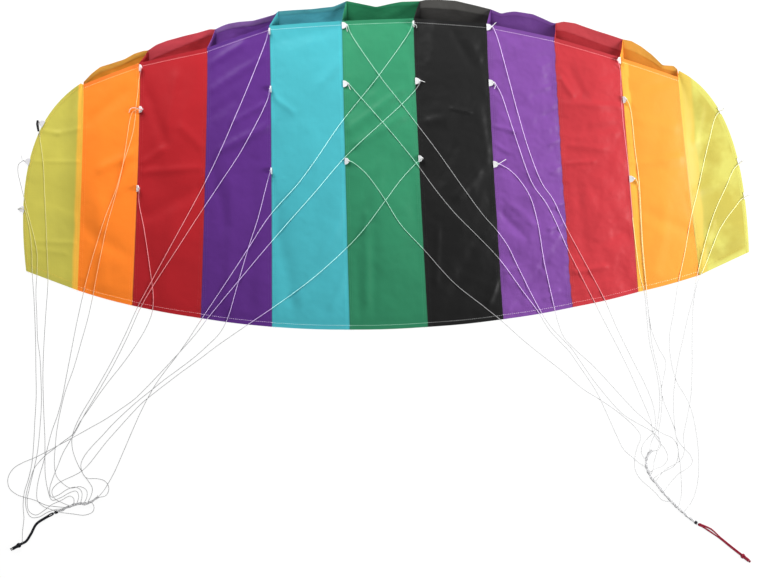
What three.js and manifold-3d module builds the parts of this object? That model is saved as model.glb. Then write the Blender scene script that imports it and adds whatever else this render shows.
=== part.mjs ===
// A two-line foil kite lying on its back, with its bridle laid out behind it.
// Nine cells stand between ten ribs, with a single-layer flap at each tip. The upper skin lies on the
// floor, the lower skin faces up, and the open mouths are at the front.
// Millimetres: +X along the span, +Y towards the mouths, +Z up. The origin is on the floor under the
// middle of the canopy.

import * as THREE from 'three';
import { mergeVertices } from 'three/addons/utils/BufferGeometryUtils.js';
import Module from 'manifold-3d';

const wasm = await Module();
wasm.setup();

const CLOTH = 1;             // thickness of a skin, rib, flap or tab
const GAP = 0.3;             // between pieces that are sewn or laid together
const CROWN = 8;             // rise of the lower skin between two ribs, at its fullest
const NOSE_SHARE = 0.45;     // height of the curled upper lip, as a share of the rib's lift
const CURL_CHORD = 0.09;     // share of the chord over which the upper lip curls up
const BACK_BOW = 1.5;        // bow of the trailing edge across one panel
const SEAM_DEPTH = 2.5;      // upright strip of a rib at its seam with the lower skin

const TAB_BASE = 12;         // a bridle tab's length along its seam
const TAB_REACH = 10;        // and from its seam to its point
const TAB_STUB = 1.6;        // upright part of the tab above the seam
const STUB_CLOTH = 0.7;      // its thickness, less than that of the rib that it is let into
const FRONT_TAB = 0.02;      // chord shares at which the front and middle tabs are sewn
const MIDDLE_TAB = 0.2;

const LINE = 1.2;            // diameter of a bridle line
const BUNDLE = 5;            // of the lines twisted together
const PIGTAIL = 2.4;         // of the pigtail's doubled cord
const STRAND_OFFSET = 1.6;   // from the pigtail's middle to each of its two strands
const EYE_OFFSET = 3;        // the same where the two strands part
const STOPPER = [5.2, 3.8, 3];     // half sizes of a stopper knot
const TAIL = 2.4;            // radius of the tail's frayed end
const SIDES = 8;             // of a cord's section
const FLOOR_GAP = 0.1;       // under a cord that lies on the floor
const LAY_GAP = 0.6;         // under a cord that lies on cloth
const CORD_GAP = 0.4;        // between cords that cross
const PROBE = 1.5;           // step at which a cord looks for what lies under it

// Ribs from left to right. lip, nose and back are the ends of its seams in plan: the front edge of the
// lower skin, the front edge of the upper skin, and the trailing edge. lift is how high the lip
// stands. On the ribs that the bridle holds, rear is the chord share of the rear tab, tilt the degrees
// by which the tabs rise from the cloth, and lean the side to which they lie, 1 for the right, where it
// isn't the one that their lines leave by.
const RIBS = [
  { name: 'rib_1', lip: [-529, 158], nose: [-529, 163], back: [-551, -209], lift: 13, rear: null },
  { name: 'rib_2', lip: [-428, 193], nose: [-412, 216], back: [-454, -239], lift: 19, rear: 0.518, tilt: 70,
    lean: 1 },
  { name: 'rib_3', lip: [-306, 216], nose: [-291, 250], back: [-332, -265], lift: 23, rear: null },
  { name: 'rib_4', lip: [-194, 252], nose: [-178, 279], back: [-205, -284], lift: 25, rear: 0.475, tilt: 70 },
  { name: 'rib_5', lip: [-64, 257], nose: [-55, 294], back: [-66, -293], lift: 26, rear: 0.45, tilt: 35 },
  { name: 'rib_6', lip: [64, 258], nose: [76, 290], back: [74, -292], lift: 26, rear: 0.45, tilt: 55 },
  { name: 'rib_7', lip: [194, 245], nose: [202, 272], back: [209, -282], lift: 25, rear: 0.475, tilt: 35 },
  { name: 'rib_8', lip: [314, 217], nose: [318, 244], back: [333, -264], lift: 23, rear: null },
  { name: 'rib_9', lip: [429, 179], nose: [436, 212], back: [452, -240], lift: 19, rear: 0.518, tilt: 65 },
  { name: 'rib_10', lip: [533, 141], nose: [532, 156], back: [562, -213], lift: 13, rear: null },
];

// Cells from left to right, each between two ribs. edge is how far the upper lip's edge stands forward of
// a straight line between the two ribs, at four even places across the cell.
const CELLS = [
  { name: '1_orange', colour: '#ff9130', edge: [10.4, 9.5, 5.6, 5.8] },
  { name: '2_red', colour: '#c93238', edge: [6.1, 6.3, 4.9, 3.6] },
  { name: '3_purple', colour: '#6b3496', edge: [3.4, 0.5, -3.9, -4.1] },
  { name: '4_cyan', colour: '#4bb9c8', edge: [-1.8, -4, -5.5, -6.6] },
  { name: '5_green', colour: '#35a070', edge: [-5.3, -10.4, -4.5, -0.8] },
  { name: '6_black', colour: '#2a2a2a', edge: [5.8, 7.6, 6.4, 3.3] },
  { name: '7_purple', colour: '#6b3496', edge: [-1.7, 5.5, 7.2, 3.7] },
  { name: '8_red', colour: '#c93238', edge: [7.2, 6.8, 4, 2.3] },
  { name: '9_orange', colour: '#ff9130', edge: [5.4, 4.1, -1.6, -3.8] },
];

// Broad folds of the lower skin: the cell, the fold's middle as shares of the cell's width and chord,
// its half length and half width, its turn from the chord in degrees, and its rise or dip.
const FOLDS = [
  { cell: '1_orange', across: 0.6, along: 0.35, length: 110, width: 26, turn: 12, rise: -3 },
  { cell: '2_red', across: 0.35, along: 0.5, length: 90, width: 30, turn: -35, rise: -3 },
  { cell: '2_red', across: 0.7, along: 0.25, length: 80, width: 26, turn: 20, rise: 2 },
  { cell: '3_purple', across: 0.5, along: 0.55, length: 120, width: 28, turn: 24, rise: -3 },
  { cell: '4_cyan', across: 0.62, along: 0.7, length: 120, width: 26, turn: 6, rise: -2.5 },
  { cell: '5_green', across: 0.4, along: 0.4, length: 130, width: 28, turn: -30, rise: -3 },
  { cell: '5_green', across: 0.6, along: 0.75, length: 80, width: 26, turn: 14, rise: 1.5 },
  { cell: '6_black', across: 0.55, along: 0.35, length: 110, width: 26, turn: 32, rise: -3 },
  { cell: '7_purple', across: 0.35, along: 0.55, length: 100, width: 26, turn: -20, rise: -3.5 },
  { cell: '7_purple', across: 0.68, along: 0.72, length: 90, width: 24, turn: 28, rise: 2.5 },
  { cell: '8_red', across: 0.55, along: 0.5, length: 110, width: 28, turn: -40, rise: -3 },
  { cell: '9_orange', across: 0.45, along: 0.4, length: 100, width: 26, turn: 16, rise: -2.5 },
];

// Tip flaps. Each runs from the outermost rib to a curved edge, given as a cubic curve from its front
// corner to its back corner. tabs are the tabs' places along that curve. They point away from the kite,
// rising by tilt degrees.
const TIPS = [
  { name: 'tip_left', rib: 0, side: -1, tilt: 12, tabs: [0.345, 0.562, 0.776],
    edge: [[-535, 161], [-616, 112], [-658, 10], [-642, -172]] },
  { name: 'tip_right', rib: 9, side: 1, tilt: 60, tabs: [0.377, 0.655, 0.8],
    edge: [[535.5, 154], [614, 112], [650, 10], [652, -174]] },
];
const TIP_COLOUR = '#e8cf4e';
const TIP_FALL = 0.5;        // share of the flap's width over which it comes down to the floor

// Cord routes are points on a plan grid: columns to the right, rows towards the trailing edge. One step
// of the grid is 1.79 mm, the kite lies turned on it by 1.6 degrees, and its middle is at column 382.1,
// row 165.
const GRID = { column: 382.1, row: 165, step: 1.79, turn: 1.6 };

// Each pigtail is a cord doubled along its route, from the stopper knot to the loop at the bundle. eye is
// the point of the route at which its two strands part, if they do.
const PIGTAILS = [
  { name: 'black', colour: '#17171c', tailEnd: [11.5, 550.5], eye: null,
    route: [[21.5, 543.8], [26, 541.3], [31, 534], [36.5, 524], [46, 517.5], [53, 513.6]] },
  { name: 'red', colour: '#8e1c34', tailEnd: [751, 560.8], eye: 3,
    route: [[740.5, 554.2], [731.5, 547.2], [719, 537], [710.5, 530.3], [702, 525.6], [699, 524.4]] },
];

// The bundles, from the pigtail's loop into the tangle.
const BUNDLES = [
  { name: 'bundle_left', pigtail: 0,
    route: [[66, 508], [73, 505], [80, 503.5], [88, 503], [94, 500], [99, 496]] },
  { name: 'bundle_right', pigtail: 1,
    route: [[689, 517.5], [681, 510.5], [673, 503], [666, 495.5], [659, 487.5], [653, 479.5],
      [648.5, 472], [646, 464], [647.5, 456], [652, 450]] },
];

// Bridle lines, in the order in which they are laid. Each is named for its row of tabs (0 and 11 are
// the tips) and its tab, and runs from that tab to a place on its bundle or pigtail.
const LINES = [
  { name: '0c', route: [[19.2, 208.4], [24.2, 209.6], [27.4, 218.5], [30.6, 236], [32, 252], [32.3, 272],
    [34.1, 300], [35.5, 335], [36, 370], [36.3, 396], [35, 420], [33.8, 443], [32, 463], [28.5, 479],
    [24.5, 492], [23.2, 505], [24, 518], [22.6, 532], [22.4, 542.6]] },
  { name: '0b', route: [[21.5, 162], [18.6, 164.6], [18, 171.5], [20.4, 183], [24.8, 200], [29.4, 219],
    [34.8, 239.5], [37.3, 254], [37.2, 270], [36, 292], [36.8, 312], [37.8, 340], [40, 357], [41, 378],
    [41.5, 402], [40, 428], [37.5, 452], [33.8, 470], [30, 486], [27.3, 500], [29, 511], [36, 515],
    [44, 510.5], [52, 504.5], [61, 500.5], [70, 496], [74, 498.5], [74, 504.6]] },
  { name: '0a', route: [[40, 138], [43, 160], [45, 200], [47, 245], [48, 281], [46, 312], [44, 345],
    [43, 375], [43.8, 410], [45, 440], [45, 458], [45.5, 476], [48, 490], [52, 500], [60, 498],
    [70, 492.5], [76.5, 491], [78.8, 496], [77, 504.1]] },
  { name: '2a', route: [[140.2, 79], [138.8, 94], [137.2, 106], [136.4, 117], [134, 133], [129, 150],
    [123.8, 166], [117.3, 189], [106.4, 216.5], [97.4, 243.5], [90, 268], [83.5, 293], [77, 322],
    [71.5, 350], [66.5, 376], [62, 399], [58, 414], [52, 431], [47, 450], [43, 464], [39, 478], [37, 490],
    [37.5, 500], [43, 506], [52, 509.5], [63, 512.5], [74, 514], [85, 515], [93, 511.5], [94, 505.5],
    [91, 501.5]] },
  { name: '2b', route: [[134.2, 112.4], [131.2, 120], [127.9, 140], [125.2, 159], [120.4, 181.5],
    [113.6, 205.5], [107.2, 228], [102, 252], [98.4, 269], [92.7, 297], [88, 318], [81, 343], [73.5, 369],
    [65.5, 391], [60.5, 411], [57, 430], [55.3, 447], [54.5, 464], [56.5, 476], [63, 483.5], [71, 488],
    [80, 486.5], [86.5, 490], [87, 497], [84, 503.2]] },
  { name: '2c', route: [[139.5, 200], [145, 231], [150.5, 270], [153.5, 297], [152, 313], [146, 328],
    [134, 348], [121, 366], [109, 381], [98, 396], [89, 409], [80, 422], [73, 434], [64, 441], [55, 448],
    [46, 455], [39.5, 461.5], [34, 469], [30.8, 478], [28, 487], [25.8, 498], [26.5, 509], [31, 517],
    [39, 517], [47, 512.5], [56, 509.3], [63, 508.7]] },
  { name: '4a', route: [[266, 44], [250, 85], [236, 118], [221, 152], [203, 188], [178, 234], [152, 281],
    [138, 306.5], [125, 335], [112.6, 360], [101.5, 380], [91, 398], [82, 413], [75, 427.5], [72, 439],
    [72.8, 450], [76.5, 461], [81, 470], [87, 478], [96, 478.5], [105, 481], [109, 488], [106, 495.5],
    [97.5, 497.2]] },
  { name: '4b', route: [[268, 101], [243, 150], [222, 182], [200, 214.5], [177, 250], [154, 285],
    [140.5, 308], [127.5, 337], [115, 362], [103.5, 382.5], [93, 400.5], [84, 415.5], [76.8, 429.5],
    [70, 441], [63, 453], [58, 465.5], [53, 478], [49.8, 489], [51.5, 497], [58.5, 495], [67, 489.5],
    [76, 487], [81.5, 491], [82, 497.5], [80.5, 503.4]] },
  { name: '4c', route: [[268.5, 180], [258, 220], [249, 247], [238, 284], [227, 320], [219, 334], [207, 346],
    [194, 357.5], [179, 369], [164, 380], [151, 390.5], [139, 400], [126, 411.5], [112, 425], [102, 436],
    [92, 446.5], [84.5, 456], [81, 464.5], [83, 473.5], [88.5, 481], [92.5, 488.5], [91, 496],
    [87.5, 503]] },
  { name: '6c', route: [[417, 163], [401, 180], [385, 201.5], [361, 233], [340, 254.5], [309, 281.5],
    [271, 309], [248, 324.5], [219, 344.5], [199, 359.5], [181, 372.5], [166.5, 383.5], [153, 394],
    [141.5, 403.5], [130, 415.5], [117, 430], [106, 442.5], [97, 454], [90, 463], [82.5, 470.5],
    [74, 475.5], [64, 480], [56, 485], [52, 491], [54.5, 498], [62, 502.5], [71, 505.9]] },
  { name: '6a', route: [[410, 32], [379.5, 76], [341, 124], [315, 162], [299, 183.5], [270, 216], [247, 251],
    [225, 284.5], [203, 317], [194.5, 330], [186, 343], [176, 357], [166, 370], [156.5, 383],
    [149.5, 395], [141, 411.5], [131, 434], [122, 455], [114.5, 472], [108.5, 483], [103.5, 491],
    [99.6, 495.6]] },
  { name: '6b', route: [[416, 90], [401, 106], [382, 123.5], [346, 157], [315, 193], [299, 211],
    [272, 241.5], [240, 279.5], [208, 318], [197, 332.5], [184, 347.5], [171, 361.5], [158, 375.5],
    [146, 388], [134, 399.5], [120, 409.5], [105, 419.5], [89, 428.5], [73, 437.5], [60, 444.5],
    [47, 451.5], [34, 458], [22, 463], [13, 469], [8, 478.5], [9.5, 488], [17, 494.5], [26, 497.5],
    [36, 500.5], [46, 505], [56, 506.5], [67.5, 507.3]] },
  { name: '5c', route: [[353, 163], [366, 174], [385, 200], [400, 224], [424, 250], [454, 283], [483, 306],
    [503, 322], [525, 341.5], [545, 357.5], [563, 371.5], [582, 388], [600, 399.5], [613.5, 408.5],
    [626, 418.5], [636, 428], [641, 436.5], [637.5, 447], [635, 458], [635.5, 470], [641, 479.5],
    [649, 486.5], [656, 493], [662.5, 500], [671.5, 501.6]] },
  { name: '5b', route: [[350, 86], [382, 122.5], [414, 161], [436, 191], [455, 214], [478, 237], [499, 259],
    [520, 287.5], [538.5, 312.5], [549.5, 330], [559.5, 341], [569.5, 351.5], [578.5, 364.5],
    [588.5, 379], [597, 392.5], [604, 407], [611, 422.5], [617.5, 437], [624, 449.5], [633, 457.5],
    [640, 463.5], [646.9, 467]] },
  { name: '5a', route: [[350, 33], [378, 75], [402.5, 106.5], [436, 150.5], [464, 190], [482.6, 215],
    [497.6, 232], [508, 247], [519, 269.5], [541, 312], [552, 328], [562, 338.5], [572, 349], [581, 362],
    [591, 376.5], [601, 389.5], [612, 402.5], [623, 414], [633, 420.5], [642, 425.5], [650, 430],
    [657.5, 436.5], [661, 444], [658, 450], [651.6, 450.6]] },
  { name: '7c', route: [[507, 169], [517, 178], [529.5, 197], [537, 222], [543.5, 260], [552.5, 300],
    [557.5, 320], [564, 337], [575.5, 349.5], [590, 362.5], [604.5, 377.5], [620, 394.5], [634.5, 410],
    [648, 422], [655, 428.5], [664, 434], [672, 437.5], [677, 444.5], [678.5, 455], [675, 465],
    [667.5, 470], [659, 474], [652.6, 479]] },
  { name: '7b', route: [[500, 94], [508, 117], [516.5, 143], [532, 184.5], [546.5, 205], [567.6, 249.5],
    [581, 276], [595, 303], [605, 322.5], [620, 351.5], [630.5, 373], [638, 390], [645.5, 407],
    [651, 421], [653, 432], [659, 441.5], [665.5, 449.5], [668, 458], [663.5, 465.5], [656, 468.5],
    [648.8, 472.6]] },
  { name: '7a', route: [[496, 37], [504, 65], [515.5, 108], [528, 150.5], [541.5, 184], [552, 199],
    [565, 226], [585, 263], [605, 300.5], [617.5, 329], [634, 362.5], [645, 384], [653, 404],
    [655.5, 420], [654, 431], [648.5, 437.5], [643, 444.5], [641.5, 453], [646.3, 461]] },
  { name: '9a', route: [[619.4, 72], [619.9, 88.4], [620.5, 101], [621.2, 111.3], [622.4, 124.6],
    [627.4, 166], [633, 226], [640, 276], [644.5, 293], [647, 319], [650, 344], [655, 365], [659, 387],
    [659.8, 405], [658, 421], [655.5, 432.5], [651.5, 442], [648.2, 455]] },
  { name: '9c', route: [[637, 184], [639.5, 212], [642.5, 257], [647, 294], [649.5, 321], [652.5, 346],
    [657.3, 367], [661.5, 388], [662, 406], [660.5, 421], [658.5, 432], [659.5, 442], [657, 451],
    [654.5, 461], [653, 469], [650.4, 475.5]] },
  { name: '9b', route: [[629, 108], [634, 149], [638, 180], [642, 243], [645.5, 281], [648, 306],
    [651.5, 329], [659, 348.5], [666, 362], [664, 376], [661.5, 391], [664.5, 403], [669.5, 415],
    [674.5, 428], [678, 440], [684.5, 448.5], [690.5, 455], [692.5, 462.5], [687, 468.5], [679, 473.5],
    [672, 481], [663, 492]] },
  { name: '11c', route: [[741, 199.5], [735.4, 206.8], [726.7, 218], [718.9, 231], [712.4, 246.5],
    [705, 265.5], [698.8, 279.5], [695, 293], [692.8, 317], [692.3, 345], [692.3, 370], [691, 396],
    [687, 419], [683.5, 437], [684.5, 448], [682, 458.5], [675, 464], [667.5, 468], [661, 474],
    [654.9, 482]] },
  { name: '11b', route: [[734.6, 168], [725.6, 187.5], [714, 213.5], [704.8, 243], [697.6, 273],
    [693, 297.5], [689.2, 312.5], [683.6, 337], [678.5, 360], [675, 382], [673.5, 403], [675, 427],
    [677, 441], [679, 455], [680.5, 468], [681.5, 482], [681.5, 495], [678, 507.7]] },
  { name: '11a', route: [[716.6, 115], [709, 141], [697, 192], [690.5, 218], [684, 255], [678.6, 281],
    [674, 311], [669.5, 340], [672, 365], [677, 382], [686, 397], [691.5, 410], [697, 437], [699, 465],
    [696.5, 489], [691, 503], [683, 512.3]] },
];

const RIB_COLOUR = '#e9e9ee';
const LINE_COLOUR = '#f2f2f2';
const SEAT = CLOTH + GAP;    // height of what lies on the upper skin

const { lerp, degToRad } = THREE.MathUtils;
const mix = (a, b, t) => [lerp(a[0], b[0], t), lerp(a[1], b[1], t)];
const sumOf = (items, value) => items.reduce((total, item) => total + value(item), 0);

// Shares of the chord at which the sheets have their rows, from the front to the trailing edge.
const LOWER_ROWS = [0, 0.05, 0.13, 0.24, 0.36, 0.48, 0.6, 0.72, 0.84, 0.93, 1];
const UPPER_ROWS = [0, 0.02, 0.045, 0.07, CURL_CHORD, 0.3, 0.6, 1];
const RIB_ROWS = [0, 0.02, 0.045, 0.07, CURL_CHORD, 0.2, 0.35, 0.5, 0.65, 0.8, 0.9, 1];
const TIP_ROWS = [0, 0.08, 0.18, 0.3, 0.4, 0.5, 0.6, 0.7, 0.8, 0.9, 1];

const group = new THREE.Group();

function addPiece(name, geometry, colour, roughness) {
  const material = new THREE.MeshStandardMaterial({ color: colour, roughness, metalness: 0 });
  const mesh = new THREE.Mesh(geometry, material);
  mesh.name = name;
  group.add(mesh);
  return mesh;
}

// A closed mesh with one vertex at each corner.
function closed(geometry) {
  const bare = geometry.index ? geometry : geometry.clone();
  bare.deleteAttribute('normal');
  bare.deleteAttribute('uv');
  return mergeVertices(bare, 1e-4);
}

function toSolid(geometry) {
  const bare = closed(geometry);
  const vertProperties = new Float32Array(bare.attributes.position.array);
  const triVerts = new Uint32Array(bare.index.array);
  return new wasm.Manifold(new wasm.Mesh({ numProp: 3, vertProperties, triVerts }));
}

function toGeometry(solid) {
  const mesh = solid.getMesh();
  const geometry = new THREE.BufferGeometry();
  geometry.setAttribute('position', new THREE.BufferAttribute(mesh.vertProperties, 3));
  geometry.setIndex(new THREE.BufferAttribute(mesh.triVerts, 1));
  return geometry;
}

// A box whose vertices are moved by place(x, row, z), with x and z from 0 to 1 and row an index that
// counts from the front.
function shapedBox(columns, rows, layers, place) {
  const box = new THREE.BoxGeometry(1, 1, 1, columns, rows, layers);
  const position = box.attributes.position;
  for (let i = 0; i < position.count; i += 1) {
    const row = Math.round((0.5 - position.getY(i)) * rows);
    const point = place(position.getX(i) + 0.5, row, position.getZ(i) + 0.5);
    position.setXYZ(i, ...point);
  }
  return closed(box);
}

// Share of the lift that is left at a chord share: full at the lip, a little fuller behind it, and
// none at the trailing edge.
const loft = (v) => (1 - v) ** 1.3 * (1 + 1.6 * v);
const curl = (v) => Math.max(0, 1 - v / CURL_CHORD) ** 2;
const crown = (v) => CROWN * (1 - v) * (0.55 + 1.8 * v);

const lowerSeam = (rib, v) => mix(rib.lip, rib.back, v);
const upperSeam = (rib, v) => mix(rib.nose, rib.back, v);
const underside = (rib, v) => SEAT + (rib.lift - SEAT) * loft(v);

function foldRise(cell, left, right, x, y) {
  return sumOf(FOLDS.filter((fold) => fold.cell === cell.name), (fold) => {
    const [midX, midY] = mix(lowerSeam(left, fold.along), lowerSeam(right, fold.along), fold.across);
    const turn = degToRad(fold.turn);
    const along = (x - midX) * Math.sin(turn) + (y - midY) * Math.cos(turn);
    const across = (x - midX) * Math.cos(turn) - (y - midY) * Math.sin(turn);
    return fold.rise * Math.exp(-((along / fold.length) ** 2) - (across / fold.width) ** 2);
  });
}

// One panel of the lower skin, between the upright seam strips of its two ribs.
function lowerPanel(cell, left, right) {
  const inset = CLOTH / 2 + GAP;
  return shapedBox(6, LOWER_ROWS.length - 1, 1, (x, row, z) => {
    const v = LOWER_ROWS[row];
    const [leftX, leftY] = lowerSeam(left, v);
    const [rightX, rightY] = lowerSeam(right, v);
    const px = lerp(leftX + inset, rightX - inset, x);
    const swell = Math.sin(Math.PI * x);
    const py = lerp(leftY, rightY, x) - BACK_BOW * swell * v;
    const seam = lerp(underside(left, v), underside(right, v), x);
    const fold = foldRise(cell, left, right, px, py) * swell * (1 - v ** 3);
    return [px, py, seam + crown(v) * swell + fold + z * CLOTH];
  });
}

// One panel of the upper skin, flat on the floor, its front edge curled up and waved in plan.
function upperPanel(cell, left, right) {
  const edges = [0, ...cell.edge, 0];
  const columns = edges.length - 1;
  return shapedBox(columns, UPPER_ROWS.length - 1, 1, (x, row, z) => {
    const v = UPPER_ROWS[row];
    const [leftX, leftY] = upperSeam(left, v);
    const [rightX, rightY] = upperSeam(right, v);
    const px = lerp(leftX + GAP / 2, rightX - GAP / 2, x);
    const edge = edges[Math.round(columns * x)];
    const py = lerp(leftY, rightY, x) + edge * curl(v) - BACK_BOW * Math.sin(Math.PI * x) * v;
    const rise = NOSE_SHARE * lerp(left.lift, right.lift, x) * curl(v);
    return [px, py, rise + z * CLOTH];
  });
}

// A tab: a stub that carries the seam strip up, and a triangle that lies over to one side.
// base is a point on top of the seam, along the seam's direction, lean the side, -1 or 1, and tiltDegrees
// how far it rises.
function tabSolid(base, along, lean, tiltDegrees) {
  const side = new THREE.Vector3(along.y, -along.x, 0).multiplyScalar(lean * Math.sign(along.y) || lean);
  const tilt = degToRad(tiltDegrees);
  const out = side.clone().multiplyScalar(Math.cos(tilt)).setZ(Math.sin(tilt));
  const up = new THREE.Vector3().crossVectors(along, out);
  const width = up.z > 0 ? along : along.clone().negate();
  const triangle = new THREE.Shape([
    new THREE.Vector2(-TAB_BASE / 2, 0),
    new THREE.Vector2(TAB_BASE / 2, 0),
    new THREE.Vector2(0, TAB_REACH),
  ]);
  const flap = new THREE.ExtrudeGeometry(triangle, { depth: CLOTH, bevelEnabled: false });
  const place = new THREE.Matrix4().makeBasis(width, out, new THREE.Vector3().crossVectors(width, out));
  flap.applyMatrix4(place.setPosition(base.x, base.y, base.z + CLOTH));
  const stub = new THREE.BoxGeometry(STUB_CLOTH, TAB_BASE, 2 * TAB_STUB);
  stub.rotateZ(Math.atan2(along.y, along.x) - Math.PI / 2);
  stub.translate(base.x, base.y, base.z);
  const tip = new THREE.Vector3(base.x, base.y, base.z + 1.5 * CLOTH).addScaledVector(out, TAB_REACH);
  return { solid: toSolid(stub).add(toSolid(flap)), tip, out };
}

const tabs = {};             // each tab's point and the direction it points in, by its line's name

// A rib: a ruled sheet from the upper skin's seam to the lower skin's, with its tabs.
function ribGeometry(rib, number) {
  const sheet = shapedBox(1, RIB_ROWS.length - 1, 2, (x, row, z) => {
    const v = RIB_ROWS[row];
    const foot = SEAT + NOSE_SHARE * rib.lift * curl(v);
    const top = underside(rib, v) + CLOTH;
    const strip = Math.max(top - SEAM_DEPTH, lerp(foot, top, 0.4));
    const [px, py] = z > 0.25 ? lowerSeam(rib, v) : upperSeam(rib, v);
    const pz = [foot, strip, top][Math.round(2 * z)];
    return [px + (x - 0.5) * CLOTH, py, pz];
  });
  if (rib.rear === null) return sheet;
  const [dx, dy] = [rib.lip[0] - rib.back[0], rib.lip[1] - rib.back[1]];
  const along = new THREE.Vector3(dx, dy, 0).normalize();
  let solid = toSolid(sheet);
  const shares = { a: FRONT_TAB, b: MIDDLE_TAB, c: rib.rear };
  for (const [letter, v] of Object.entries(shares)) {
    const name = `${number}${letter}`;
    const base = new THREE.Vector3(...lowerSeam(rib, v), underside(rib, v) + CLOTH);
    const first = gridPoint(LINES.find((line) => line.name === name).route[0]);
    const tab = tabSolid(base, along, rib.lean ?? Math.sign(first.x - base.x), rib.tilt);
    solid = solid.add(tab.solid);
    tabs[name] = tab;
  }
  return toGeometry(solid);
}

// A tip flap: one sheet from the outer rib's seam down to the floor, with tabs on its outer edge.
function tipGeometry(tip, number) {
  const rib = RIBS[tip.rib];
  const [start, pullA, pullB, end] = tip.edge.map((point) => new THREE.Vector2(...point));
  const edge = new THREE.CubicBezierCurve(start, pullA, pullB, end);
  const inset = CLOTH / 2 + GAP;
  const sheet = shapedBox(6, TIP_ROWS.length - 1, 1, (x, row, z) => {
    const v = TIP_ROWS[row];
    const outward = tip.side > 0 ? x : 1 - x;
    const [seamX, seamY] = lowerSeam(rib, v);
    const rim = edge.getPoint(v);
    const px = lerp(seamX + tip.side * inset, rim.x, outward);
    const fall = Math.max(0, 1 - outward / TIP_FALL) ** 2;
    return [px, lerp(seamY, rim.y, outward), underside(rib, v) * fall + z * CLOTH];
  });
  let solid = toSolid(sheet);
  tip.tabs.forEach((place, i) => {
    const rim = edge.getPoint(place);
    const direction = edge.getTangent(place).negate();
    const along = new THREE.Vector3(direction.x, direction.y, 0);
    const inward = new THREE.Vector3(-tip.side * along.y, tip.side * along.x, 0);
    const base = new THREE.Vector3(rim.x, rim.y, TAB_STUB).addScaledVector(inward, CLOTH);
    const tab = tabSolid(base, along, tip.side, tip.tilt);
    solid = solid.add(tab.solid);
    tabs[`${number}${'abc'[i]}`] = tab;
  });
  return toGeometry(solid);
}

// A point of the plan grid, on the floor.
function gridPoint([column, row]) {
  const turn = degToRad(GRID.turn);
  const right = (column - GRID.column) * GRID.step;
  const front = (GRID.row - row) * GRID.step;
  return new THREE.Vector3(
    right * Math.cos(turn) + front * Math.sin(turn),
    front * Math.cos(turn) - right * Math.sin(turn),
    0,
  );
}

// A smooth curve whose extrusion has one ring at each of its points.
class CordCurve extends THREE.CatmullRomCurve3 {
  getUtoTmapping(u) {
    return u;
  }
}

function cordGeometry(points, diameter) {
  const ring = new THREE.Shape();
  ring.absarc(0, 0, diameter / 2, 0, 2 * Math.PI);
  const extrudePath = new CordCurve(points, false, 'centripetal');
  const options = { steps: points.length - 1, curveSegments: SIDES / 2, extrudePath };
  return closed(new THREE.ExtrudeGeometry(ring, options));
}

// What cords lie on: the cloth, sounded from above, and the cords laid before.
const cloth = [];
const laid = [];
const sounder = new THREE.Raycaster();
const DOWN = new THREE.Vector3(0, 0, -1);
const SKY = 200;

function clothHeight(x, y) {
  sounder.set(new THREE.Vector3(x, y, SKY), DOWN);
  const hits = sounder.intersectObjects(cloth);
  return hits.length ? hits[0].point.z : null;
}

// Height that a cord's middle needs at a place, over the floor, the cloth and the cords laid before.
function heightNeeded(x, y, radius, earlier) {
  const ground = clothHeight(x, y);
  let need = radius + (ground === null ? FLOOR_GAP : ground + LAY_GAP);
  for (const span of earlier) {
    const reach = radius + span.radius + CORD_GAP + PROBE / 2;
    const dx = span.to.x - span.from.x;
    const dy = span.to.y - span.from.y;
    const share = ((x - span.from.x) * dx + (y - span.from.y) * dy) / (dx * dx + dy * dy);
    const t = THREE.MathUtils.clamp(share, 0, 1);
    const away = Math.hypot(x - span.from.x - t * dx, y - span.from.y - t * dy);
    if (away < reach) {
      need = Math.max(need, lerp(span.from.z, span.to.z, t) + radius + span.radius + CORD_GAP);
    }
  }
  return need;
}

function markLaid(points, radius) {
  for (let i = 0; i < points.length - 1; i += 1) laid.push({ from: points[i], to: points[i + 1], radius });
}

// Lays a cord along plan points: each point is as high as what lies under the two stretches that meet
// there. A point that already has a height, such as a tab's, keeps it.
function layCord(points, diameter) {
  const radius = diameter / 2;
  const own = [];
  const span = (i) => ({ from: points[i], to: points[i + 1], radius });
  for (let i = 0; i < points.length; i += 1) {
    if (points[i].z > 0) continue;
    const earlier = laid.concat(own);
    let need = 0;
    for (const j of [i - 1, i]) {
      if (j < 0 || j > points.length - 2) continue;
      const steps = Math.ceil(points[j].distanceTo(points[j + 1]) / PROBE);
      for (let k = 0; k <= steps; k += 1) {
        const x = lerp(points[j].x, points[j + 1].x, k / steps);
        const y = lerp(points[j].y, points[j + 1].y, k / steps);
        need = Math.max(need, heightNeeded(x, y, radius, earlier));
      }
    }
    points[i].z = need;
    if (i >= 3) own.push(span(i - 3));
  }
  markLaid(points, radius);
  return points;
}

// The canopy
CELLS.forEach((cell, i) => {
  const [left, right] = [RIBS[i], RIBS[i + 1]];
  addPiece(`upper_${cell.name}`, upperPanel(cell, left, right), cell.colour, 0.5);
  cloth.push(addPiece(`lower_${cell.name}`, lowerPanel(cell, left, right), cell.colour, 0.5));
});
RIBS.forEach((rib, i) => cloth.push(addPiece(rib.name, ribGeometry(rib, i + 1), RIB_COLOUR, 0.6)));
const TIP_ROWS_OF_TABS = [0, 11];
TIPS.forEach((tip, i) => {
  cloth.push(addPiece(tip.name, tipGeometry(tip, TIP_ROWS_OF_TABS[i]), TIP_COLOUR, 0.5));
});

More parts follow.
